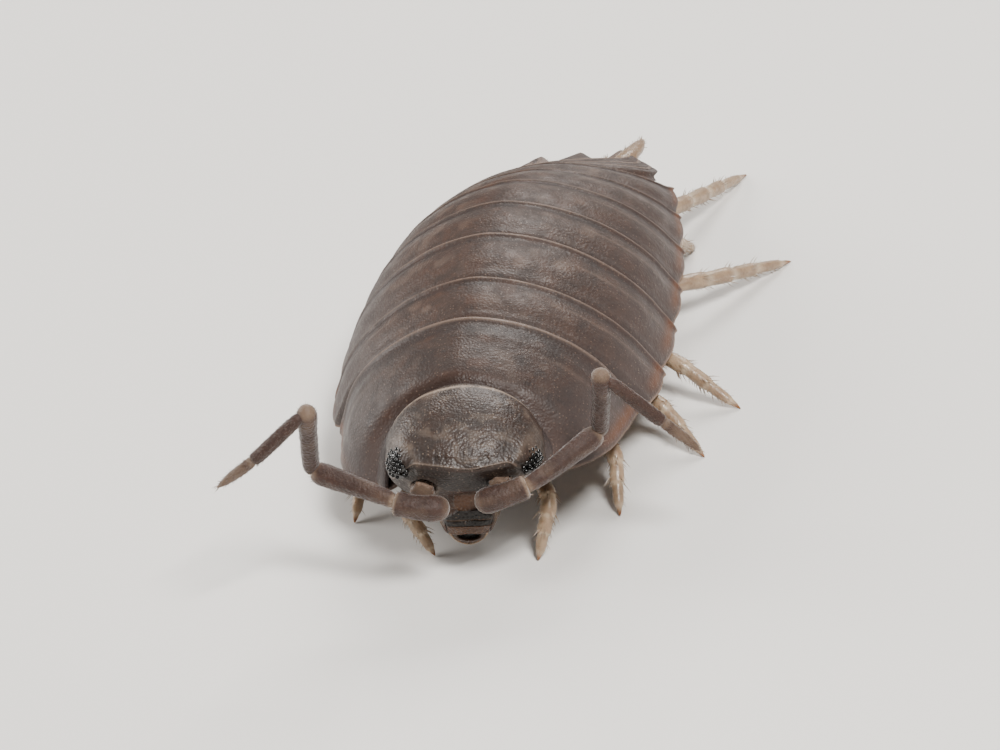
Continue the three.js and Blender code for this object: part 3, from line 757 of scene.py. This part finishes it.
def sprinkle(line, radii, number, length, thickness, tile, low=0.05, high=0.97, under=0.0,
             tip_lean=0.8):
    """Bristles set at random on a round limb, leaning towards its tip. under above zero keeps
    them to the limb's lower side. tile is the limb's own column on the bake map."""
    radii = np.asarray(radii)
    share = low + (high - low) * CHANCE.random(number)
    turn = 2 * math.pi * CHANCE.random(number)
    size = length * (0.7 + 0.6 * CHANCE.random(number))
    _, spoke, ahead = rings(line, radii, TURNS)
    row = np.clip((share * (len(line) - 1)).astype(int), 0, len(line) - 1)
    column = (turn / (2 * math.pi) * TURNS).astype(int) % TURNS
    out = spoke[row, column]
    if under:
        keep = out[:, 2] < -under
        row, out, size, share, turn = (v[keep] for v in (row, out, size, share, turn))
    roots = line[row] + out * (radii[row] * 0.9)[:, None]
    directions = out + ahead[row] * tip_lean
    unwrap = np.stack([
        (tile + 0.1 + 0.8 * turn / (2 * math.pi)) / TILES, 0.05 + 0.9 * share], 1)
    return bristles(roots, directions, size, thickness, unwrap, lean=ahead[row] * 0.3)


# Head
HEAD_LEVELS = [  # up, front station, back station, half width, roundness
    (1.74, 0.86, 2.2, 1.15, 2.1), (1.78, 0.8, 2.3, 1.34, 2.2), (2.05, 0.6, 2.5, 1.66, 2.3),
    (2.4, 0.44, 2.6, 1.79, 2.4), (2.75, 0.3, 2.62, 1.77, 2.5), (3.05, 0.16, 2.62, 1.74, 2.5),
    (3.18, 0.22, 2.6, 1.68, 2.45), (3.42, 0.46, 2.58, 1.54, 2.3), (3.66, 0.78, 2.52, 1.3, 2.2),
    (3.86, 1.15, 2.45, 0.97, 2.1), (3.98, 1.5, 2.35, 0.62, 2.05), (4.04, 1.75, 2.2, 0.3, 2.0),
    (4.06, 1.9, 2.08, 0.08, 2.0),
]
# Height of the rows by their share of the way up, closer together over the face
HEAD_ROW_HEIGHTS = [(0, 1.74), (0.1, 2.0), (0.5, 3.05), (0.78, 3.7), (0.92, 3.99), (1, 4.06)]
HEAD_ROWS = 250
HEAD_COLUMNS = 380
SOCKETS = ((0.95, 2.4), (-0.95, 2.4))
RIDGE_UP = 3.13


def face_forms(side, station, height, facing):
    """The forms of the face as masks from 0 to 1, by humps and eased steps of the side and the
    height. The ridge is a thin line that dips in the middle and falls beside the eyes. Below
    it are the shield, with a lobe between the feelers, and the sockets with their collars, and
    above it a brow with pits. The crown is all that lies above and behind."""
    wide = np.abs(side)
    falls = np.where(side > 0, ease(wide, 0.85, 1.8), ease(wide, 1.1, 1.85))
    ridge_at = RIDGE_UP - 0.08 * hump(side, 0.05, 0.4) - 0.95 * falls
    ridge = hump(height, ridge_at, 0.016 + 0.016 * falls) * facing * ease(1.72 - wide, 0, 0.1)
    below = ease(ridge_at - height, 0, 0.12) * facing
    notch = sum(hump(side, s, 0.36) for s, _ in SOCKETS)
    shield_low = 2.26 + 0.42 * np.clip(notch, 0, 1) + 0.25 * ease(wide, 1.1, 1.5)
    shield = below * ease(height, shield_low - 0.02, shield_low + 0.02)
    from_sockets = [np.hypot(side - s, height - u) for s, u in SOCKETS]
    from_eye = np.hypot((side - np.sign(side) * 1.42) / 0.34, (height - 2.92) / 0.42)
    front = facing * ease(1.5 - wide, 0, 0.25)
    holes = ease(cloud(place(side, station, height), 0.14, 541), 0.0, 0.5)
    crown = ease(height, ridge_at + 0.02, ridge_at + 0.12) + (1 - facing) * ease(height, 2.6, 3.0)
    return {
        "ridge": ridge,
        "below": below,
        "shield": shield,
        "bulge": hump(height, ridge_at - 0.3, 0.25) * hump(side, 0, 0.8),
        "brow": hump(height, ridge_at + 0.09, 0.05) * front,
        "pits": hump(height, ridge_at + 0.13, 0.09) * front * holes,
        "sockets": sum(hump(away, 0, 0.2) for away in from_sockets) * facing,
        "collars": sum(hump(away, 0.3, 0.07) for away in from_sockets) * facing,
        "eye_ring": hump(from_eye, 1.0, 0.22) * facing,
        "under": facing * ease(ridge_at - height, 0, 0.1) * (1 - shield),
        "crown": np.clip(crown, 0, 1),
    }


def head_skin():
    """The head as level outlines from the underside to the crown. The forms of the face push
    the front forwards or back, and fine domes and clouds push the skin out along its normal,
    with a dimple on either side of the crown."""
    up = curve(HEAD_ROW_HEIGHTS, np.linspace(0, 1, HEAD_ROWS))
    side, station, height, angle = outlines(HEAD_LEVELS, up, HEAD_COLUMNS, 0.55)
    face = face_forms(side, station, height, ease(np.cos(angle), 0.02, 0.3))
    shield, collars, crown = face["shield"], face["collars"], face["crown"]
    forward = (0.016 * face["ridge"] - 0.05 * face["below"] * (1 - shield)
               + 0.06 * shield * face["bulge"] - 0.008 * face["brow"] - 0.028 * face["pits"]
               - 0.05 * face["sockets"] + 0.04 * collars + 0.03 * face["eye_ring"])
    grid = place(side, station - forward, height)
    normal = outward(grid)
    if (normal[HEAD_ROWS // 2, 0] @ np.array([0, -1, 0])) < 0:
        normal = -normal
    skin = np.clip(crown + 0.7 * shield, 0, 1)
    rough = 0.002 * grains(grid, 0.16, 501) + 0.0025 * grains(grid, 0.07, 507)
    rough = rough * skin + 0.012 * cloud(grid, 0.5, 511) * crown + 0.003 * cloud(grid, 0.14, 513)
    dimple = 0.02 * sum(hump(np.hypot(side - s, height - 3.4), 0, 0.2) for s in (-0.95, 0.95))
    grid = grid + normal * (rough - dimple)[..., None]
    wide = np.abs(side)
    patches = ease(-cloud(grid, 0.35, 523), 0.05, 0.7)
    freckles = ease(cloud(grid, 0.13, 525), 0.3, 0.8)
    spots = ease(cloud(grid, 0.2, 521), 0.15, 0.7) * crown
    hind = ease(height, 2.9, 3.2) * hump(station + 0.2 * (wide / 1.7) ** 2, 2.08, 0.05)
    under = face["under"] * (1 - collars)
    # Painted shade: the brow and its pits above the ridge are darkened, as well as the shield's own
    # dark colour and the crown's patches and freckles.
    dark = (0.85 * shield * (1 - face["ridge"]) + 0.3 * face["brow"] + 0.6 * face["pits"]
            + crown * (0.35 * patches + 0.4 * freckles) + 0.3 * under * ease(wide, 0.3, 0.6))
    pale = (0.32 * face["ridge"] + 0.3 * collars + 0.14 * spots + 0.15 * face["eye_ring"]
            + 0.8 * hind)
    marks = {"pale": np.clip(pale, 0, 1), "dark": np.clip(dark, 0, 1),
             "rust": np.clip(under * hump(side, 0, 0.5), 0, 1)}
    return closed(turn_head(grid), marks)


piece("head_skin", head_skin(), HEAD, ["head"])

EYE_PLACES = {"left": (1.38, 0.8, 2.88), "right": (-1.46, 0.84, 2.88)}
EYE_RADII = np.array([0.24, 0.34, 0.37])
EYE_TURN = math.radians(45)
EYE_TILT = math.radians(22)
LENS_PITCH = 0.112
LENS_RADIUS = 0.052
LENS_FIELD = 0.84
LENS_SINK = 0.018


def eye_skin(hand, name):
    """An oval swelling packed with round lenses. The surface is an oval by two angles, and the
    lenses sit on its outer side in staggered rows, each a ball half sunk in the swelling."""
    shapes = [ball(60, 80, 0.02) * EYE_RADII * 0.97]
    rows, columns = np.meshgrid(np.arange(-3, 4), np.arange(-3, 4), indexing="ij")
    across = ((columns + 0.5 * (rows % 2)) * LENS_PITCH).reshape(-1)
    height = (rows * LENS_PITCH * 0.88).reshape(-1)
    slanted = across + 0.12 * height
    share = (slanted / EYE_RADII[1]) ** 2 + (height / EYE_RADII[2]) ** 2
    keep = share < LENS_FIELD
    depth = EYE_RADII[0] * np.sqrt(1 - share[keep]) - LENS_SINK
    lens = ball(12, 18, 0.05) * LENS_RADIUS
    for centre in zip(depth, slanted[keep], height[keep]):
        shapes.append(lens + np.array(centre))
    flip = np.array([hand, 1, 1])
    spin = Matrix.Rotation(-EYE_TURN * hand, 3, "Z") @ Matrix.Rotation(-EYE_TILT * hand, 3, "Y")
    spin = np.array(spin).T
    middle = place(*EYE_PLACES[name])
    return joined([closed(turn_head((points * flip) @ spin + middle)) for points in shapes])


for hand, name in ((1, "left"), (-1, "right")):
    piece(f"eye_lenses_{name}", eye_skin(hand, name), EYE, [f"eye_{name}"])


MOUTH_LEVELS = [  # up, front station, back station, half width, roundness
    (0.78, 0.8, 1.2, 0.2, 2.0), (0.82, 0.68, 1.3, 0.32, 2.0), (0.98, 0.56, 1.6, 0.54, 2.1),
    (1.2, 0.52, 1.75, 0.67, 2.2), (1.35, 0.5, 1.85, 0.74, 2.3), (1.68, 0.54, 2.1, 0.86, 2.3),
    (2.2, 0.6, 2.2, 0.9, 2.2),
]
MOUTH_ROWS = 190
MOUTH_COLUMNS = 340


def mouth_skin():
    """The beak under the head as level outlines, rounded Ds by powers of sine and cosine. On
    its front, smooth steps of the side and height raise the brown roof plate, the glossy dark
    upper lip with a groove across it, the pale edge below the lip, and the rim around the
    mouth. The mouth is a dent, and grooves part the jaws and the outer plates."""
    up = np.linspace(MOUTH_LEVELS[0][0], MOUTH_LEVELS[-1][0], MOUTH_ROWS)
    side, station, height, angle = outlines(MOUTH_LEVELS, up, MOUTH_COLUMNS, 0.6)
    facing = ease(np.cos(angle), 0.0, 0.25)
    wide = np.abs(side)
    arched = height + 0.1 * (wide / 0.6) ** 2
    roof = ease(height, 1.76, 1.79) * ease(0.34 - wide, 0, 0.05) * facing
    narrows = 0.56 - 0.3 * ease(height, 1.5, 1.8)
    lip = ease(arched, 1.4, 1.42) * ease(1.82 - arched, 0, 0.03) * facing
    lip = lip * ease(narrows - wide, 0, 0.05)
    groove = hump(arched, 1.56, 0.018) * lip
    edge = hump(arched, 1.38, 0.022) * ease(0.6 - wide, 0, 0.06) * facing
    band = ease(arched, 1.12, 1.16) * ease(1.37 - arched, 0, 0.03) * facing
    band = band * ease(0.6 - wide, 0, 0.1)
    around = np.hypot(side / 0.27, (height - 1.06) / 0.11)
    opening = ease(1.1 - around, 0, 0.35) * facing
    rim = hump(np.hypot(side / 0.42, (height - 1.14) / 0.32), 1.0, 0.07) * facing
    rim = rim * ease(1.16 - height, 0, 0.1)
    jaws = hump(wide, 0.5 + 0.12 * (height - 1.3), 0.018) * ease(1.5 - height, 0, 0.1) * facing
    plates = hump(wide, 0.66 + 0.1 * (height - 1.3), 0.02) * facing
    seam = hump(side, 0, 0.015) * ease(0.92 - height, 0, 0.05) * facing
    forward = (0.03 * roof + 0.075 * lip - 0.02 * groove + 0.06 * edge + 0.03 * band
               - 0.12 * opening + 0.05 * rim - 0.05 * jaws - 0.05 * plates - 0.03 * seam)
    grid = place(side, station - forward, height)
    grid = grid + 0.005 * cloud(grid, 0.14, 611)[..., None]
    outside = ease(wide, 0.56, 0.62)
    grooves = 0.7 * (jaws + plates + seam)
    marks = {
        # Painted shade: the mouth dent and the grooves between the jaws and plates are painted dark.
        # The lip's dark is its own colour.
        "dark": np.clip(0.95 * lip * (1 - 0.6 * groove) + opening + grooves, 0, 1),
        "rust": np.clip(0.6 * band + 0.8 * edge + 0.4 * roof, 0, 1) * (1 - opening),
        "pale": np.clip(0.35 * edge + 0.8 * rim + 0.2 * groove + 0.3 * outside, 0, 1),
    }
    return closed(turn_head(grid), marks)


piece("mouth_skin", mouth_skin(), MOUTH, ["mouthparts"])


# Feelers
FEELERS = {
    "left": {
        "root": [(1.0, 1.0, 2.38), (1.0, 0.7, 2.37), (0.98, 0.32, 2.36)],
        "base": [(0.46, 0.06, 2.21), (0.8, 0.12, 2.27), (1.3, 0.24, 2.35), (1.64, 0.36, 2.41)],
        "joint_4": [(1.58, 0.33, 2.41), (1.95, 0.6, 2.5), (2.9, 1.42, 2.8), (3.2, 1.66, 2.9)],
        "joint_5": [(3.19, 1.69, 2.84), (3.28, 1.5, 3.3), (3.52, 1.1, 4.3), (3.6, 0.95, 4.88)],
        "lash": [(3.72, 0.96, 4.6), (3.98, 1.0, 4.29), (4.7, 1.08, 3.42), (5.3, 1.14, 2.72),
                 (5.46, 1.15, 2.5)],
    },
    "right": {
        "root": [(-0.74, 0.95, 2.48), (-0.74, 0.6, 2.48), (-0.72, 0.22, 2.47)],
        "base": [(-0.1, -0.03, 2.21), (-0.45, -0.11, 2.29), (-0.9, -0.19, 2.42),
                 (-1.3, -0.15, 2.53)],
        "joint_4": [(-1.25, -0.16, 2.55), (-1.6, -0.06, 2.7), (-2.8, 0.27, 3.1),
                    (-3.12, 0.36, 3.2)],
        "joint_5": [(-3.12, 0.38, 3.14), (-3.06, 0.22, 3.6), (-2.8, -0.32, 4.85),
                    (-2.71, -0.49, 5.34)],
        "lash": [(-2.84, -0.52, 5.14), (-3.16, -0.62, 4.92), (-3.98, -0.86, 4.34),
                 (-4.7, -0.98, 3.9), (-4.93, -1.01, 3.76)],
    },
}
FEELER_ROWS = 150
FEELER_SIDES = 96
# Radius along each feeler joint
FEELER_RADII = {
    "root": [(0, 0.2), (0.3, 0.22), (0.6, 0.245), (0.85, 0.24), (0.95, 0.2), (1, 0.08)],
    "base": [(0, 0.05), (0.03, 0.15), (0.08, 0.22), (0.16, 0.275), (0.28, 0.295), (0.5, 0.28),
             (0.75, 0.265), (0.88, 0.28), (0.94, 0.265), (0.98, 0.215), (1, 0.12)],
    "joint_4": [(0, 0.12), (0.05, 0.17), (0.15, 0.19), (0.6, 0.235), (0.82, 0.255), (0.9, 0.25),
                (0.95, 0.215), (0.98, 0.16), (1, 0.06)],
    "joint_5": [(0, 0.1), (0.06, 0.17), (0.2, 0.19), (0.65, 0.2), (0.82, 0.225), (0.9, 0.22),
                (0.95, 0.18), (0.98, 0.12), (1, 0.03)],
    "lash": [(0, 0.08), (0.04, 0.13), (0.2, 0.15), (0.5, 0.15), (0.575, 0.135), (0.59, 0.105),
             (0.61, 0.12), (0.8, 0.115), (0.95, 0.06), (1, 0.012)],
}


def feeler_joint(name, points):
    """One joint of a feeler: rings along its line, with five low ridges along it, a fine skin
    of domes, and pale ends. The root joint is paler, and its domes are warts."""
    line, share = rail(place(*np.array(points).T), FEELER_ROWS)
    radii = curve(FEELER_RADII[name], share)
    turn = np.linspace(0, 2 * math.pi, FEELER_SIDES, endpoint=False)[None]
    ridged = 1 + 0.03 * np.cos(5 * turn) * hump(share, 0.5, 0.4)[:, None]
    grid, spoke, _ = rings(line, radii[:, None] * ridged, FEELER_SIDES)
    height = 0.045 if name == "root" else 0.01
    domes = height * grains(grid, 0.13 if name == "root" else 0.09, 701)
    grid = grid + spoke * (domes * ease(share * (1 - share), 0, 0.06)[:, None])[..., None]
    ends = {
        "root": np.full(len(share), 0.5),
        "base": ease(share, 0.9, 0.97) + 0.3 * ease(0.2 - share, 0, 0.15),
        "lash": (0.9 * ease(share, 0.56, 0.6) * ease(0.66 - share, 0, 0.05)
                 + 0.55 * ease(share, 0.62, 0.7)),
    }.get(name, 0.6 * ease(share, 0.88, 0.96) + 0.8 * ease(0.08 - share, 0, 0.06))
    blotch = 0.35 * ease(cloud(grid, 0.3, 703), 0.2, 0.7)
    core = 0.0 if name == "root" else 0.7 * hump(share, 0.5, 0.35)[:, None]
    strength = 0.45 if name == "root" else 0.7
    pale = np.clip(ends[:, None] * strength + blotch * 0.4, 0, 1)
    return closed(grid, {"pale": pale, "core": core}), line, radii


coat, fur = [], []
tile = 0
for hand, joints in FEELERS.items():
    root_shape = feeler_joint("root", joints["root"])[0]
    for name in ("base", "joint_4", "joint_5", "lash"):
        shape, line, radii = feeler_joint(name, joints[name])
        if name == "base":
            shape = joined([root_shape, shape])
        piece(f"skin_feeler_{hand}_{name}", shape, FEELER, [f"feeler_{hand}_{name}"])
        fur.append(sprinkle(line, radii, 520, 0.065, 0.0045, tile, low=0.06))
        if name in ("base", "joint_4"):
            coat.append(sprinkle(line, radii, 12, 0.09, 0.007, tile, low=0.93, high=0.99,
                                 tip_lean=1.6))
        tile += 1
    tip, _ = rail(place(*np.array(joints["lash"][-2:]).T), 20)
    coat.append(sprinkle(tip, np.full(20, 0.02), 10, 0.14, 0.006, tile - 1, low=0.6,
                         tip_lean=3.0))
piece("hairs_feelers", gather(fur), HAIR, smooth=False)
piece("bristles_feelers", gather(coat), BRISTLE, smooth=False)


# Legs
LEGS = {  # root side and station, knee side, station and height, foot side and station
    "left": [
        ((1.3, 2.75), (1.75, 1.75, 1.15), (1.38, 1.05)),
        ((1.85, 5.0), (2.95, 3.9, 1.1), (3.05, 2.7)),
        ((2.0, 6.7), (3.75, 5.9, 1.02), (4.75, 5.0)),
        ((2.0, 8.6), (3.9, 7.75, 1.02), (5.38, 7.05)),
        ((2.0, 10.4), (3.9, 11.4, 1.02), (5.7, 13.85)),
        ((1.9, 12.1), (2.95, 13.4, 1.02), (3.15, 14.85)),
        ((1.7, 13.5), (2.85, 15.3, 0.98), (3.75, 18.4)),
    ],
    "right": [
        ((-1.3, 2.85), (-1.65, 2.0, 1.15), (-1.05, 1.55)),
        ((-1.85, 5.0), (-2.9, 4.1, 1.1), (-3.2, 3.2)),
        ((-1.9, 6.7), (-3.1, 6.1, 1.0), (-3.55, 5.3)),
        ((-1.9, 8.6), (-3.15, 8.2, 1.0), (-3.65, 7.7)),
        ((-1.9, 10.4), (-3.1, 10.7, 1.0), (-3.6, 11.1)),
        ((-1.8, 12.1), (-2.9, 12.8, 1.0), (-3.35, 13.5)),
        ((-1.6, 13.5), (-2.45, 14.7, 0.95), (-2.8, 15.9)),
    ],
}
LEG_ROWS = 130
LEG_SIDES = 56
FOOT_CENTRE_UP = 0.012
# Radius along a leg: a stout first joint, five more that each widen to their end, and a claw
LEG_RADII = [(0, 0.3), (0.2, 0.26), (0.32, 0.2), (0.35, 0.18), (0.4, 0.195), (0.47, 0.2),
             (0.5, 0.175), (0.55, 0.185), (0.62, 0.19), (0.645, 0.16), (0.7, 0.165),
             (0.77, 0.165), (0.79, 0.135), (0.85, 0.13), (0.92, 0.105), (0.945, 0.07),
             (0.97, 0.05), (1, 0.012)]
LEG_JOINTS = (0.33, 0.5, 0.64, 0.785, 0.935)


def leg(root, knee, foot):
    """A leg from under the plate out to the knee and down to the floor, as rings along a smooth
    line whose radius narrows at each joint."""
    root, knee, foot = np.array(root), np.array(knee), np.array(foot)
    up = knee[2]
    out = [(*blend(root, knee[:2], share), height) for share, height in (
        (0, 1.98), (0.2, 1.5), (0.45, up + 0.14), (0.85, up + 0.06))]
    down = [(*blend(knee[:2], foot, share), up * (1 - share))
            for share in (0.15, 0.55, 0.85, 0.985)]
    line, share = rail(place(*np.array(out + down).T), LEG_ROWS)
    line[:, 2] = np.maximum(line[:, 2], FOOT_CENTRE_UP)
    radii = curve(LEG_RADII, share)
    grid, spoke, _ = rings(line, radii, LEG_SIDES)
    grid = grid + spoke * (0.006 * cloud(grid, 0.12, 801))[..., None]
    grid[..., 2] = np.maximum(grid[..., 2], 0.0)
    joints = sum(hump(share, at, 0.018) for at in LEG_JOINTS)
    dusk = ease(cloud(grid, 0.3, 803), 0.1, 0.6) * 0.3
    marks = {"pale": 0.5 * joints[:, None], "claw": ease(share, 0.955, 0.985)[:, None],
             "dusk": dusk}
    return closed(grid, marks), line, radii


coat = []
tile = 8
for hand, legs in LEGS.items():
    for number, rows in enumerate(legs):
        shape, line, radii = leg(*rows)
        piece(f"skin_leg_{hand}_{number + 1}", shape, LIMB, [f"leg_{hand}_{number + 1}"])
        coat.append(sprinkle(line, radii, 90, 0.09, 0.006, tile, low=0.3, high=0.93))
        for at in LEG_JOINTS[1:4]:
            coat.append(sprinkle(line, radii, 12, 0.2, 0.012, tile, low=at - 0.05,
                                 high=at + 0.005, tip_lean=1.0))
        coat.append(sprinkle(line, radii, 60, 0.15, 0.01, tile, low=0.4, high=0.92, under=0.3,
                             tip_lean=0.7))
        tile += 1
piece("bristles_legs", gather(coat), BRISTLE, smooth=False)


# Tail feelers
TAIL_FEELERS = {  # outer and inner branch: side, distance behind the last tail ring, height
    "left": (
        [(0.85, -0.35, 1.5), (1.02, 0.15, 1.42), (1.18, 0.75, 1.34), (1.28, 1.35, 1.27),
         (1.32, 1.85, 1.22)],
        [(0.6, -0.3, 1.42), (0.62, 0.1, 1.38), (0.66, 0.5, 1.35), (0.68, 0.8, 1.33)],
    ),
    "right": (
        [(-0.85, -0.35, 1.5), (-0.95, 0.1, 1.38), (-0.98, 0.5, 1.28), (-0.97, 0.85, 1.2),
         (-0.95, 1.15, 1.14)],
        [(-0.6, -0.3, 1.4), (-0.6, 0.05, 1.34), (-0.6, 0.35, 1.29), (-0.6, 0.6, 1.25)],
    ),
}
BRANCH_RADII = [(0, 0.8), (0.15, 0.9), (0.22, 0.72), (0.3, 0.9), (0.5, 1), (0.75, 0.8),
                (0.92, 0.4), (1, 0.03)]
OUTER_RADIUS = 0.24
INNER_RADIUS = 0.15


def tail_branch(points, wide):
    """One branch of a tail feeler: rings along its line, flattened, with a waist near the root,
    a fine skin of domes and a pale tip."""
    rows = [(side, TAIL_END + back, up) for side, back, up in points]
    line, share = rail(place(*np.array(rows).T), 110)
    radii = wide * curve(BRANCH_RADII, share)
    grid, spoke, _ = rings(line, radii, 64, flat=0.7)
    grid = grid + spoke * (0.008 * grains(grid, 0.09, 901))[..., None]
    marks = {"pale": ease(share, 0.9, 1)[:, None], "dusk": 0.8, "claw": 0.0}
    return closed(grid, marks), line, radii


coat = []
for name, branches in TAIL_FEELERS.items():
    shapes = []
    for points, wide in zip(branches, (OUTER_RADIUS, INNER_RADIUS)):
        shape, line, radii = tail_branch(points, wide)
        shapes.append(shape)
        coat.append(sprinkle(line, radii * 0.85, 120, 0.1, 0.006, tile, low=0.3))
        tile = min(tile + 1, TILES - 1)
    piece(f"skin_tail_feeler_{name}", joined(shapes), LIMB, [f"tail_feeler_{name}"])
piece("bristles_tail", gather(coat), BRISTLE, smooth=False)


# Floor, lights and camera
def floor():
    """A plain pale floor, one flat square at height zero."""
    half = 0.6
    corners = [(-half, -half, 0), (half, -half, 0), (half, half, 0), (-half, half, 0)]
    mesh = bpy.data.meshes.new("floor")
    mesh.from_pydata(corners, [], [(0, 1, 2, 3)])
    material = bpy.data.materials.new("floor_paper")
    material.use_nodes = True
    shader = material.node_tree.nodes["Principled BSDF"]
    shader.inputs["Base Color"].default_value = (0.8, 0.78, 0.75, 1)
    shader.inputs["Roughness"].default_value = 0.9
    mesh.materials.append(material)
    made = bpy.data.objects.new("floor", mesh)
    bpy.context.scene.collection.objects.link(made)


def lamp(name, place_at, aim_at, size, power, shine):
    """A square soft lamp at one point, turned to face another. Shine scales its reflections."""
    light = bpy.data.lights.new(name, "AREA")
    light.shape = "SQUARE"
    light.size = size
    light.energy = power
    light.color = WARM_WHITE
    light.specular_factor = shine
    made = bpy.data.objects.new(name, light)
    bpy.context.scene.collection.objects.link(made)
    direction = Vector(aim_at) - Vector(place_at)
    made.rotation_mode = "QUATERNION"
    made.rotation_quaternion = direction.to_track_quat("-Z", "Y")
    made.location = place_at


WARM_WHITE = (1, 0.98, 0.95)
floor()
lamp("key", (0.06, -0.07, 0.12), (0, -0.004, 0.003), size=0.035, power=0.34, shine=1.0)
lamp("fill", (-0.13, 0.03, 0.07), (0, 0, 0.003), size=0.09, power=0.23, shine=0.3)
lamp("back", (0.02, 0.11, 0.1), (0, 0.002, 0.003), size=0.08, power=0.22, shine=0.7)
world = bpy.data.worlds.new("soft_room")
world.use_nodes = True
world.node_tree.nodes["Background"].inputs["Color"].default_value = (0.95, 0.91, 0.87, 1)
world.node_tree.nodes["Background"].inputs["Strength"].default_value = 0.2
bpy.context.scene.world = world

VIEW_TURN = math.radians(13.5)
VIEW_RISE = math.radians(29.5)
VIEW_ROLL = math.radians(-11)
VIEW_DISTANCE = 130
PIXELS_PER_MM = 45
IMAGE_WIDTH = 1000
EYES_IN_IMAGE = (466 - 500, 457 - 375)


def camera():
    """The camera at the photograph's angle. The point between the eyes lands at its own place
    in the image, and the scale there is PIXELS_PER_MM."""
    back = np.array([math.sin(VIEW_TURN) * math.cos(VIEW_RISE),
                     -math.cos(VIEW_TURN) * math.cos(VIEW_RISE), math.sin(VIEW_RISE)])
    level = np.array([math.cos(VIEW_TURN), math.sin(VIEW_TURN), 0])
    rise = np.cross(back, level)
    right = math.cos(VIEW_ROLL) * level + math.sin(VIEW_ROLL) * rise
    up = -math.sin(VIEW_ROLL) * level + math.cos(VIEW_ROLL) * rise
    target = turn_head(place(0, 1.2, 2.75))
    at = (target + back * VIEW_DISTANCE - right * EYES_IN_IMAGE[0] / PIXELS_PER_MM
          + up * EYES_IN_IMAGE[1] / PIXELS_PER_MM)
    data = bpy.data.cameras.new("camera")
    data.sensor_width = 36
    data.lens = 36 * PIXELS_PER_MM * VIEW_DISTANCE / IMAGE_WIDTH
    data.clip_start, data.clip_end = 0.005, 10
    made = bpy.data.objects.new("camera", data)
    bpy.context.scene.collection.objects.link(made)
    frame_of = Matrix([[*right], [*up], [*back]]).transposed().to_4x4()
    frame_of.translation = [v * MM for v in at]
    made.matrix_world = frame_of
    bpy.context.scene.camera = made


camera()
